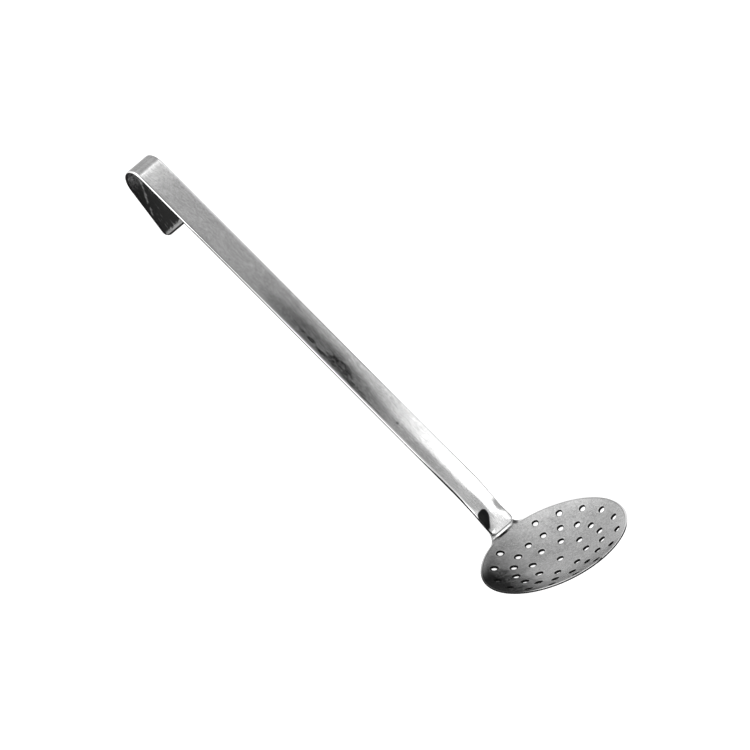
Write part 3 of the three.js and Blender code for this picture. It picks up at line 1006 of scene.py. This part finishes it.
# %% [markdown]
# A punch tears the last part of its way through the sheet, so each hole has a dull dark wall, and painted
# shade widens it to a dark ring. The ring is wider on one side of every hole, towards the painted dark zone
# and on the near side. A thin painted highlight lies round it as a lighter border. The two attributes that
# the holes were given tell how close a point is to an edge, and on which side.

# %% Torn hole edges with painted shade
# dull grey of the torn walls, which also carries their painted shade
TORN_AND_SHADED_GREY = (0.012, 0.02)  # its level, and how much the fine smudges vary it
SHADED_SIDE_SHARE = (0.5, 0.1)  # how much wider the painted shade is on the shaded side: away from the dark zone, within it
RING_DARK_ZONE = (4 * MM, 22 * MM)  # towards the painted dark zone: where rings start to widen, where they have
RING_NEAR = (18 * MM, 32 * MM)  # towards the near side, likewise
RING_WIDER = (0.45, 0.55)  # by how much, for the two
NEAREST = math.radians(132)
RING_WALL = (0.72, 0.88)  # widened closeness to the edge at which the ring starts, and is full
RING_LIMIT = (0.36, 0.48)  # plain closeness that it needs besides, which keeps it round
RING_BORDER = (0.3, 0.6)
# painted highlight on the border round each ring
HIGHLIGHT_BORDER_TONE = 1.2
BY_A_HOLE = 0.02  # the least closeness of a point that belongs to a hole


def hole_rings(tree, at):
    """The masks of the torn rings with their painted shade, and of the painted highlight borders round them.
    """
    edge = node(tree, "ShaderNodeAttribute", {}, attribute_name="hole_edge").outputs["Fac"]
    side = node(tree, "ShaderNodeAttribute", {}, attribute_name="hole_side").outputs["Fac"]
    dark_side = rise(tree, distance_towards(tree, at, DARK_ZONE_TOWARDS), *RING_DARK_ZONE)
    near = rise(tree, distance_towards(tree, at, NEAREST), *RING_NEAR)
    shaded_side = times(tree, sums(tree, "MAXIMUM", side, 0), choose(tree, dark_side, *SHADED_SIDE_SHARE))
    reach = sums(tree, "ADD", shaded_side, edge)
    reach = plus(tree, reach, dark_side, RING_WIDER[0])
    reach = plus(tree, reach, near, RING_WIDER[1])
    wall = times(tree, rise(tree, reach, *RING_WALL), rise(tree, edge, *RING_LIMIT))
    border = times(tree, rise(tree, reach, *RING_BORDER), sums(tree, "GREATER_THAN", edge, BY_A_HOLE))
    return wall, border


# %% [markdown]
# The bowl's steel puts these layers on one another, from the satin up to the torn rings. A later
# layer covers an earlier one, so the masks that have to stay clean come last.

# %% Bowl steel
BOWL_ROUGHNESS = 0.27
SMUDGE_ROUGHNESS = 0.06
DARK_ZONE_ROUGHNESS = 0.45
SCOUR_RELIEF = 0.4  # of the lines, against the fine smudges
BOWL_RELIEF = 0.006 * MM


def make_bowl_steel():
    material, tree, shader = new_steel("bowl_satin_steel")
    at = bowl_place(tree)
    dark_side = painted_dark_zone(tree, at)
    line, rim, under = rim_masks(tree, at)
    wall, border = hole_rings(tree, at)

    # painted dark reflection over one side of the bowl
    grey = toned(tree, satin_grey(tree, at), dark_side, DARK_REFLECTION_TONE)
    # painted highlight and shade at the crease, painted half shade on the lug
    grey = with_crease(tree, at, grey)
    # painted reflections, highlight and shade on the rim
    grey = with_rim(tree, at, grey, line, rim, under)
    # painted highlight round the rings, then the torn rings with their painted shade
    grey = toned(tree, grey, border, HIGHLIGHT_BORDER_TONE)
    grey = choose(tree, wall, grey, plus(tree, TORN_AND_SHADED_GREY[0], at.fine, TORN_AND_SHADED_GREY[1]))

    roughness = plus(tree, BOWL_ROUGHNESS, at.coarse, SMUDGE_ROUGHNESS)
    roughness = plus(tree, roughness, dark_side, DARK_ZONE_ROUGHNESS)
    roughness = choose(tree, wall, roughness, DULL_ROUGHNESS)
    roughness = choose(tree, under, roughness, DULL_ROUGHNESS)
    height = plus(tree, at.fine, at.scour, SCOUR_RELIEF)
    finish_surface(tree, shader, grey, roughness, height, BOWL_RELIEF)
    return material


make_bowl(make_bowl_steel())

# %% [markdown]
# Two of the outer holes, in the painted dark zone, are closed by dark discs that stand in for the shade seen
# through them. Each plug is a small disc that hangs in its hole and sags a little in the middle. It is drawn
# flat, an inset gives the sag and a solidify the thickness. A plug moves with the bowl.

# %% Dark plugs in two holes
PLUGGED = [3, 4]  # which holes of the outer ring, counted from the neck
PLUG_DEPTH = 0.45 * MM
PLUG_FIT = 0.99  # of the hole's radius inside its burr
PLUG_SEGMENTS = 32
PLUG_BORDER = 0.7 * MM
PLUG_SAG = 0.15 * MM
PLUG_THICKNESS = 0.2 * MM
PLUG_LUMP = 1 * MM
# the plugs' dark grey is painted shade
PLUG_SHADE_GREY = (0.035, 0.03)  # its level, and how much the lumps vary it
PLUG_ROUGHNESS = (0.5, 0.2)
PLUG_RELIEF = 0.05 * MM


def make_dark_plug_fill():
    material = bpy.data.materials.new("dark_plug_fill")
    material.use_nodes = True
    tree = material.node_tree
    shader = tree.nodes["Principled BSDF"]
    spot = node(tree, "ShaderNodeTexCoord", {}).outputs["Object"]
    lumps = smudge(tree, spot, PLUG_LUMP)
    grey = plus(tree, PLUG_SHADE_GREY[0], lumps, PLUG_SHADE_GREY[1])
    roughness = plus(tree, PLUG_ROUGHNESS[0], lumps, PLUG_ROUGHNESS[1])
    finish_surface(tree, shader, grey, roughness, lumps, PLUG_RELIEF)
    return material


def make_plugs(material):
    ring_radius, count, half_field = HOLE_RINGS[-1]
    drawing = bmesh.new()
    for i in PLUGGED:
        middle = on_dish(ring_arc(ring_radius), math.tau * i / count, PLUG_DEPTH)
        out = (middle - sphere_middle).normalized()
        turn = out.to_track_quat("Z", "Y").to_matrix().to_4x4()
        made = bmesh.ops.create_circle(drawing, cap_ends=True, radius=(HOLE_RADIUS - HOLE_BURR) * PLUG_FIT,
                                       segments=PLUG_SEGMENTS, matrix=Matrix.Translation(middle) @ turn)
        disc = list({face for point in made["verts"] for face in point.link_faces})
        bmesh.ops.inset_region(drawing, faces=disc, thickness=PLUG_BORDER, depth=PLUG_SAG)
    bmesh.ops.solidify(drawing, geom=drawing.faces[:], thickness=PLUG_THICKNESS)
    bmesh.ops.recalc_face_normals(drawing, faces=drawing.faces)
    plugs = finish_piece("dark_hole_plugs", drawing, material)


make_plugs(make_dark_plug_fill())

# %% [markdown]
# The marks on the strip lie where they do because of the blank too: how far along it, how far from
# an edge, and on which side. The back lies beside the front on the map, so one number tells the
# side, and folding it over gives the distance from the edge on both sides alike.

# %% Where a point lies on the strip
CLOUD = 9 * MM
SPECK = 1.2 * MM
LONG_LINES = (9 * MM, 0.8 * MM)  # their length and width
FINE_LINES = (4 * MM, 0.3 * MM)
STREAKS = (6 * MM, 0.5 * MM)


def strip_place(tree):
    blank, x, y = blank_place(tree)
    spot = node(tree, "ShaderNodeTexCoord", {}).outputs["Object"]
    back = sums(tree, "GREATER_THAN", y, STRIP_WIDTH)
    folded = plus(tree, y, back, -2 * STRIP_WIDTH)
    return SimpleNamespace(
        blank=blank, x=x, y=y, spot=spot, back=back, folded=folded,
        from_edge=sums(tree, "SUBTRACT", STRIP_WIDTH / 2, sums(tree, "ABSOLUTE", folded)),
        cloud=smudge(tree, spot, CLOUD), speck=smudge(tree, spot, SPECK),
        long_lines=grain(tree, blank, *LONG_LINES), fine_lines=grain(tree, blank, *FINE_LINES),
    )


# %% [markdown]
# The strip was ground lengthwise by a belt before it was bent, so it has fine lines along it that
# follow the hook round. On top of them lie faint clouds, specks and the finest smudges.

# %% Belt grain
FRONT_GREY = 0.56
BACK_GREY = 0.4
FINEST_SMUDGE = 0.5 * MM
BELT_STRENGTHS = (0.07, 0.15, 0.12, 0.3, 0.3)  # clouds, specks, long lines, fine lines, finest smudges


def belt_grey(tree, at):
    grey = choose(tree, at.back, FRONT_GREY, BACK_GREY)
    patterns = (at.cloud, at.speck, at.long_lines, at.fine_lines, smudge(tree, at.spot, FINEST_SMUDGE))
    for pattern, strength in zip(patterns, BELT_STRENGTHS):
        grey = plus(tree, grey, pattern, strength)
    return grey


# %% [markdown]
# Dark ragged patches lie over the middle of the strip, most of them along the near edge. The long lines of
# the steel shift the borders of the patches, and streaks break them up. A pit is a single soft blot, and so
# are two painted shades at the neck.

# %% Dark patches, a pit and painted shades
DARK_PATCHES = [  # middle along and across, reach along and across, how dark
    ((148 * MM, 3.4 * MM), (18 * MM, 5.2 * MM), 1.0),
    ((134 * MM, 6.2 * MM), (17 * MM, 2.0 * MM), 0.9),
    ((160 * MM, 6.0 * MM), (12 * MM, 1.5 * MM), 1.0),
    ((175 * MM, 4.9 * MM), (11 * MM, 1.8 * MM), 1.0),
    ((185 * MM, 4.0 * MM), (9 * MM, 2.2 * MM), 0.7),
    ((183 * MM, 0.7 * MM), (15 * MM, 0.8 * MM), 0.6),
    ((124 * MM, 7.6 * MM), (28 * MM, 0.9 * MM), 0.8),
    ((160 * MM, 4.0 * MM), (70 * MM, 8 * MM), 0.55),
]
DARK_PATCH_RAGGED = (6 * MM, 1.2 * MM)  # how far its borders are shifted along and across
DARK_PATCH_STREAKS = (-0.35, 0.2)  # of the streaks: where the patches are broken, where they are whole
STREAK_SHARE = 0.6  # of the patches, that the streaks break up
STREAK_STRENGTH = 1.2
PIT_AND_PAINTED_SHADES = [  # middle, reach, tone
    ((95.7 * MM, 3.3 * MM), (1.6 * MM, 1.2 * MM), 0.5),
    # these two are painted shades at the neck, along its far edge
    ((14.5 * MM, -7.6 * MM), (6 * MM, 3.6 * MM), 0.36),
    ((6.5 * MM, -9.4 * MM), (7.5 * MM, 2.6 * MM), 0.45),
]


def with_dark_patches(tree, at, grey):
    streaks = plus(tree, at.speck, grain(tree, at.blank, *STREAKS), STREAK_STRENGTH)
    broken = plus(tree, 1 - STREAK_SHARE, rise(tree, streaks, *DARK_PATCH_STREAKS), STREAK_SHARE)
    ragged_x = plus(tree, at.x, at.long_lines, DARK_PATCH_RAGGED[0])
    ragged_y = plus(tree, at.y, at.long_lines, DARK_PATCH_RAGGED[1])
    patches = 0
    for middle, reach, darkness in DARK_PATCHES:
        one_patch = times(tree, blot(tree, ragged_x, ragged_y, middle, reach), darkness)
        patches = sums(tree, "MAXIMUM", patches, one_patch)
    grey = toned(tree, grey, times(tree, patches, broken), 0)
    # a pit, and two painted shades at the neck
    for middle, reach, tone in PIT_AND_PAINTED_SHADES:
        grey = toned(tree, grey, blot(tree, at.x, at.y, middle, reach), tone)
    return grey


# %% [markdown]
# The bend of the hook has a painted highlight where it starts, and painted shade makes it darker round the
# bend. Each of these tones is a band that is placed from the start of the hook.

# %% Tones of the bend
BEND_HIGHLIGHT = (-18.3 * MM, 0.7 * MM, 2.1 * MM, 2.9 * MM)  # four limits from the start of the hook
BEND_HIGHLIGHT_TONE = 1.3
# painted shade round the bend
BEND_SHADES = [((2.1 * MM, 4.0 * MM), 0.62), ((6.2 * MM, 8.7 * MM), 0.65)]  # where it sets in, its tone


def with_bend(tree, at, grey):
    beyond = sums(tree, "SUBTRACT", at.x, hook_start)
    grey = toned(tree, grey, between(tree, beyond, BEND_HIGHLIGHT), BEND_HIGHLIGHT_TONE)
    for limits, tone in BEND_SHADES:
        grey = toned(tree, grey, rise(tree, beyond, *limits), tone)
    return grey


# %% [markdown]
# On the near flank of the neck sits one black patch, a painted dark reflection. Its upper end is nearly
# square, an oval rounds its corners, and its lower side runs aslant and bulges. The patch is one mask, the
# product of the masks for its sides.

# %% Painted dark reflection at the neck
PATCH_SLANT = (1.35, 17.0 * MM, 18.6 * MM)  # of the lower side: its slope, and where it is none and full
PATCH_BULGE = (5 * MM, 4 * MM, 1.8 * MM)  # its middle and reach across, and how far it stands out
PATCH_TOP = (0.12, 19.7 * MM, 18.6 * MM)  # as for the slant
PATCH_FLANKS = (1.4 * MM, 2.4 * MM, 9.3 * MM, 9.7 * MM)
PATCH_OVAL = ((13 * MM, 5 * MM), (6.6 * MM, 4.7 * MM))
PATCH_OVAL_ENDS = (13.5 * MM, 12.5 * MM)  # below this, the oval no longer limits it
PATCH_EDGE = 0.25  # of the oval's mask, at which the patch is full
# grey of the painted dark reflection
DARK_REFLECTION_GREY = (0.014, 0.01)  # its level, and how much the specks vary it


def with_dark_reflection(tree, at, grey):
    middle, reach, stand_out = PATCH_BULGE
    slanted = plus(tree, plus(tree, at.x, at.y, PATCH_SLANT[0]),
                   blot(tree, 0, at.y, (0, middle), (1, reach)), stand_out)
    top = rise(tree, plus(tree, at.x, at.y, PATCH_TOP[0]), *PATCH_TOP[1:])
    oval = sums(tree, "MAXIMUM", blot(tree, at.x, at.y, *PATCH_OVAL), rise(tree, at.x, *PATCH_OVAL_ENDS))
    dark_reflection_mask = times(tree, rise(tree, slanted, *PATCH_SLANT[1:]), top, between(tree, at.y, PATCH_FLANKS),
                       rise(tree, oval, 0, PATCH_EDGE))
    return choose(tree, dark_reflection_mask, grey, plus(tree, DARK_REFLECTION_GREY[0], at.speck, DARK_REFLECTION_GREY[1]))


# %% [markdown]
# The inside of the hook is painted dark, as painted shade. It is lighter in the bend, the end of the leg is
# rubbed, and something has scratched a line along it.

# %% Painted shade inside the hook
HOOK_SHADE_STARTS = (-16 * MM, -4 * MM)  # from the start of the hook: none, full
# level of the painted shade inside the hook
HOOK_SHADE_GREY = 0.02
HOOK_SHADE_STREAKS = (0.15, 0.5, 0.12)  # limits on the long lines, and how light
HOOK_BEND_LIGHTER = (4 * MM, -8 * MM, 0.22)  # from the end of the bend: none, full, how light
BEND_SPECKS = (-0.4, 0.5)
RUBBED_END = (-4.2 * MM, -2.4 * MM, -1.6 * MM, -1.2 * MM)  # from the end of the strip
RUBBED_RAGGED = 5 * MM
RUBBED_LIGHT = 0.25
SCRATCH_SLOPE = -0.36
SCRATCH_START = -1.2 * MM  # across, at the end of the bend
SCRATCH_WAVE = 2 * MM
SCRATCH_WIDTH = (1.0 * MM, 0.1 * MM)  # from its middle: none, full
SCRATCH_GAP = (14.5 * MM, 0.8 * MM, 2 * MM)  # its middle, and how far from it the line is none and full
SCRATCH_ENDS = (28 * MM, 22 * MM)
SCRATCH_SPECKS = (-0.5, 0.3)
SCRATCH_LIGHT = 0.2


def scratch_mask(tree, at, beyond):
    aside = sums(tree, "SUBTRACT", at.folded, SCRATCH_START)
    aside = plus(tree, plus(tree, aside, beyond, -SCRATCH_SLOPE), at.long_lines, SCRATCH_WAVE)
    middle, gone, full = SCRATCH_GAP
    from_gap = sums(tree, "ABSOLUTE", sums(tree, "SUBTRACT", beyond, middle))
    return times(tree, rise(tree, sums(tree, "ABSOLUTE", aside), *SCRATCH_WIDTH),
                 rise(tree, from_gap, gone, full), rise(tree, beyond, *SCRATCH_ENDS),
                 rise(tree, at.speck, *SCRATCH_SPECKS))


def hook_shade_grey(tree, at):
    beyond = sums(tree, "SUBTRACT", at.x, hook_end)
    from_end = sums(tree, "SUBTRACT", at.x, strip_end)
    ragged = plus(tree, from_end, at.speck, RUBBED_RAGGED)
    in_bend = times(tree, rise(tree, beyond, *HOOK_BEND_LIGHTER[:2]), rise(tree, at.speck, *BEND_SPECKS))
    rubbed = times(tree, rise(tree, ragged, *RUBBED_END[:2]), rise(tree, from_end, *RUBBED_END[:1:-1]))
    grey = plus(tree, HOOK_SHADE_GREY, rise(tree, at.long_lines, *HOOK_SHADE_STREAKS[:2]), HOOK_SHADE_STREAKS[2])
    grey = plus(tree, grey, in_bend, HOOK_BEND_LIGHTER[2])
    grey = plus(tree, grey, rubbed, RUBBED_LIGHT)
    return plus(tree, grey, scratch_mask(tree, at, beyond), SCRATCH_LIGHT)


# %% [markdown]
# The belt has broken the strip's long edges, and a painted highlight lies along them. The near edge is
# painted nearly white. The far one is only as light as the front at the neck, and dark further up. The cut
# sides are dull, and painted shade makes them and a thin line of the front next to them dark. The line thins
# out towards the hook.

# %% Painted highlights on the edges, and shaded dull sides
NEAR_EDGE = (1.9 * MM, 1.4 * MM)  # from the edge: where the brightness starts, and where it is full
FAR_EDGE = (1.5 * MM, 0.9 * MM)
FAR_EDGE_HIGHLIGHT_GREYS = (0.5, 0.12)  # at the neck and further up
FAR_EDGE_TURNS = (90 * MM, 140 * MM)
# painted highlight on the near edge
NEAR_EDGE_HIGHLIGHT_GREY = 0.98
EDGE_STARTS = (19 * MM, 21 * MM)
EDGE_MOVES_OUT = (160 * MM, 300 * MM, 0.55 * MM)  # between which places, and how far in all
EDGE_RAGGED = 0.25 * MM
SIDE_LINE = (1.1 * MM, 0.9 * MM)  # on the back, from the edge
FRONT_LINES = (0.85 * MM, 0.42 * MM, 0.1 * MM)  # widths at the neck, in the middle, at the hook
FRONT_LINE_TURNS = ((40 * MM, 80 * MM), (265 * MM, 295 * MM))
FOOT_EDGE = (2.5 * MM, 1.5 * MM)  # from the foot: none, full
# painted shade on the dull sides
SIDE_SHADE_GREYS = (0.03, 0.6)  # along the strip, and at its foot
SIDE_SPECKS = 0.03


def edge_highlight(tree, at):
    far = sums(tree, "LESS_THAN", at.folded, 0)
    moved = rise(tree, at.x, *EDGE_MOVES_OUT[:2])
    highlight_reach = plus(tree, plus(tree, at.from_edge, moved, EDGE_MOVES_OUT[2]), at.speck, EDGE_RAGGED)
    edge = choose(tree, far, rise(tree, highlight_reach, *NEAR_EDGE), rise(tree, highlight_reach, *FAR_EDGE))
    edge = times(tree, edge, rise(tree, at.x, hook_end, hook_start), rise(tree, at.x, *EDGE_STARTS))
    far_grey = choose(tree, rise(tree, at.x, *FAR_EDGE_TURNS), *FAR_EDGE_HIGHLIGHT_GREYS)
    near = rise(tree, at.folded, -STRIP_WIDTH / 4, STRIP_WIDTH / 4)
    return edge, choose(tree, near, far_grey, NEAR_EDGE_HIGHLIGHT_GREY)


def dull_shaded_side(tree, at):
    width = FRONT_LINES[0]
    for limits, next_width in zip(FRONT_LINE_TURNS, FRONT_LINES[1:]):
        width = choose(tree, rise(tree, at.x, *limits), width, next_width)
    on_side = times(tree, at.back, rise(tree, at.from_edge, *SIDE_LINE))
    on_side = sums(tree, "MAXIMUM", on_side, sums(tree, "LESS_THAN", at.from_edge, width))
    foot = rise(tree, at.x, STRIP_FOOT + FOOT_EDGE[0], STRIP_FOOT + FOOT_EDGE[1])
    return on_side, plus(tree, choose(tree, foot, *SIDE_SHADE_GREYS), at.speck, SIDE_SPECKS)


# %% [markdown]
# The strip's steel puts these layers on one another. The front is smooth enough to mirror the lamps
# as clear bands, and a little rougher from the grime upwards.

# %% Strip steel
FRONT_ROUGHNESS = (0.13, 0.17)
FRONT_ROUGHNESS_TURNS = (60 * MM, 140 * MM)
BACK_ROUGHNESS = 0.34
HOOK_INSIDE_ROUGHNESS = 0.5
EDGE_ROUGHNESS = 0.12
CLOUD_ROUGHNESS = 0.04
LINES_ROUGHNESS = 0.05
LONG_RELIEF = 1.6  # of the long lines, against the fine ones
STRIP_RELIEF = 0.003 * MM


def make_strip_steel():
    material, tree, shader = new_steel("ground_strip_steel")
    at = strip_place(tree)
    inside_hook = times(tree, at.back, rise(tree, at.x, *(hook_start + place for place in HOOK_SHADE_STARTS)))
    edge, edge_highlight_grey = edge_highlight(tree, at)
    side, side_shade_grey = dull_shaded_side(tree, at)

    # dark ragged patches, a pit, and two painted shades at the neck
    grey = with_dark_patches(tree, at, belt_grey(tree, at))
    # painted highlight and shade on the hook's bend
    grey = with_bend(tree, at, grey)
    # painted dark reflection on the neck's near flank
    grey = with_dark_reflection(tree, at, grey)
    # painted shade inside the hook
    grey = choose(tree, inside_hook, grey, hook_shade_grey(tree, at))
    # painted highlight along the long edges
    grey = choose(tree, edge, grey, edge_highlight_grey)
    # painted shade on the dull sides
    grey = choose(tree, side, grey, side_shade_grey)

    front = choose(tree, rise(tree, at.x, *FRONT_ROUGHNESS_TURNS), *FRONT_ROUGHNESS)
    roughness = plus(tree, choose(tree, at.back, front, BACK_ROUGHNESS), at.cloud, CLOUD_ROUGHNESS)
    roughness = plus(tree, roughness, at.fine_lines, LINES_ROUGHNESS)
    for mask, level in ((inside_hook, HOOK_INSIDE_ROUGHNESS), (edge, EDGE_ROUGHNESS), (side, DULL_ROUGHNESS)):
        roughness = choose(tree, mask, roughness, level)
    height = plus(tree, at.fine_lines, at.long_lines, LONG_RELIEF)
    finish_surface(tree, shader, grey, roughness, height, STRIP_RELIEF)
    return material


make_handle(make_strip_steel())

# %% [markdown]
# A weld nugget froze from melted steel. It is dull, with a coarse skin, so it gets only smudges, and
# a rougher surface than the sheets.

# %% Weld steel
SKIN_LUMP = 0.8 * MM
SKIN_GREY = (0.3, 0.15)  # its level, and how much the lumps vary it
SKIN_ROUGHNESS = (0.5, 0.15)
SKIN_RELIEF = 0.03 * MM


def make_weld_steel():
    material, tree, shader = new_steel("fused_steel")
    spot = node(tree, "ShaderNodeTexCoord", {}).outputs["Object"]
    skin = smudge(tree, spot, SKIN_LUMP)
    grey = plus(tree, SKIN_GREY[0], skin, SKIN_GREY[1])
    roughness = plus(tree, SKIN_ROUGHNESS[0], skin, SKIN_ROUGHNESS[1])
    finish_surface(tree, shader, grey, roughness, skin, SKIN_RELIEF)
    return material


weld_steel = make_weld_steel()
for weld_node, weld_place in WELD_POSITIONS.items():
    make_weld(weld_node, weld_place, weld_steel)

# %% [markdown]
# Steel shows its surroundings more than itself, so the light is most of its colour. The world is
# dark overhead, so that the front of the strip is dark wherever no lamp is mirrored. Bright zones
# lie low on both sides, for the bowl and the edges, and one lies beyond the hook for its bend.

# %% Surroundings
SKY_LEVEL = 0.8
SKY_PATCHES = [  # direction, degrees within which it is full, degrees beyond which it is gone, level
    ((0.0, -0.85, 0.5), 15, 45, 1.1),
    ((-0.09, -0.95, 0.3), 14, 22, 1.9),
    ((0.25, 0.85, 0.42), 22, 50, 2.6),
    ((0.92, 0.02, 0.38), 14, 34, 1.6),
    ((0.05, -0.12, 1.0), 14, 36, 0.08),
]


def sky_patch(tree, direction, inner, outer):
    """A mask that is 1 about a direction of the sky, and fades to 0 between two angles from it."""
    place = node(tree, "ShaderNodeTexCoord", {}).outputs["Generated"]
    near = node(tree, "ShaderNodeVectorMath", {0: place, 1: Vector(direction).normalized()},
                operation="DOT_PRODUCT").outputs["Value"]
    return rise(tree, near, math.cos(math.radians(outer)), math.cos(math.radians(inner)))


def make_world():
    world = bpy.data.worlds.new("studio")
    bpy.context.scene.world = world
    world.use_nodes = True
    tree = world.node_tree
    level = SKY_LEVEL
    for direction, inner, outer, patch_level in SKY_PATCHES:
        level = choose(tree, sky_patch(tree, direction, inner, outer), level, patch_level)
    tree.links.new(level, tree.nodes["Background"].inputs["Color"])


make_world()
print("patches in the sky:", len(SKY_PATCHES))

# %% [markdown]
# The crowned strip mirrors another part of the ceiling at each place, so the ceiling decides where it is
# white, grey or dark. Soft lamps hang side by side in one level plane. Those furthest out at -Y are seen in
# the strip's far half, and the others in its near half. The brightest makes the white above the neck, the
# next one lets it fade out, and the weakest lies over the dark patches.

# %% Lamps
LAMP_HEIGHT = 0.55
LAMPS = [  # name, lowest x and y, highest x and y, the level that a mirror shows of it
    ("foot_lamp", (-0.75, -0.75), (-0.3, -0.2), 0.55),
    ("neck_lamp", (-0.3, -0.75), (0.0, -0.233), 2.3),
    ("fading_lamp", (0.0, -0.75), (0.035, -0.22), 1.15),
    ("side_lamp", (0.085, -0.75), (0.2, -0.31), 0.47),
    ("flank_lamp", (-0.5, -0.235), (-0.13, 0.25), 0.65),
    ("neck_fill", (-0.13, -0.233), (-0.03, 0.25), 0.7),
    ("fading_fill", (-0.03, -0.22), (0.05, 0.06), 0.42),
    ("dark_patch_fill", (0.05, -0.235), (0.13, 0.06), 0.25),
    ("middle_lamp", (0.13, -0.31), (0.24, -0.06), 0.4),
    ("hook_lamp", (0.24, -0.45), (0.5, -0.06), 0.8),
]


def ceiling_lamp(name, low, high, level):
    data = bpy.data.lights.new(name, "AREA")
    data.shape = "RECTANGLE"
    data.size = high[0] - low[0]
    data.size_y = high[1] - low[1]
    data.energy = level * math.pi * data.size * data.size_y
    lamp = bpy.data.objects.new(name, data)
    lamp.location = ((low[0] + high[0]) / 2, (low[1] + high[1]) / 2, LAMP_HEIGHT)
    lamp.visible_camera = False
    bpy.context.collection.objects.link(lamp)
    return data.energy


print("energy of all lamps:", round(sum(ceiling_lamp(*lamp) for lamp in LAMPS), 2), "W")

# %% [markdown]
# The floor is pale and takes the skimmer's shadow. It also glows: by one level where the camera
# looks at it, so that it comes out white, and by a lower one where the steel mirrors it.

# %% Floor
FLOOR_SIZE = 6
FLOOR_DROP = 0.05 * MM  # keeps it clear of the skimmer's lowest faces
FLOOR_ALBEDO = 0.45
FLOOR_GLOW_MIRRORED = 0.6
FLOOR_GLOW_SEEN = 0.8


def make_floor():
    drawing = bmesh.new()
    bmesh.ops.create_grid(drawing, x_segments=1, y_segments=1, size=FLOOR_SIZE / 2)
    mesh = bpy.data.meshes.new("floor")
    drawing.to_mesh(mesh)
    drawing.free()
    floor = bpy.data.objects.new("floor", mesh)
    floor.location.z = -FLOOR_DROP
    bpy.context.collection.objects.link(floor)
    floor.data.materials.append(make_pale_floor())


def make_pale_floor():
    material = bpy.data.materials.new("pale_floor")
    material.use_nodes = True
    tree = material.node_tree
    shader = tree.nodes["Principled BSDF"]
    shader.inputs["Base Color"].default_value = (FLOOR_ALBEDO, FLOOR_ALBEDO, FLOOR_ALBEDO, 1)
    shader.inputs["Roughness"].default_value = 1
    shader.inputs["Specular IOR Level"].default_value = 0
    rays = node(tree, "ShaderNodeLightPath", {}).outputs
    mirrored = sums(tree, "MAXIMUM", rays["Is Glossy Ray"], rays["Is Transmission Ray"])
    glow = plus(tree, times(tree, mirrored, FLOOR_GLOW_MIRRORED), rays["Is Camera Ray"], FLOOR_GLOW_SEEN)
    tree.links.new(glow, shader.inputs["Emission Strength"])
    shader.inputs["Emission Color"].default_value = (1, 1, 1, 1)
    return material


make_floor()
bpy.context.scene.view_settings.view_transform = "Standard"
print("floor:", FLOOR_SIZE, "m square")
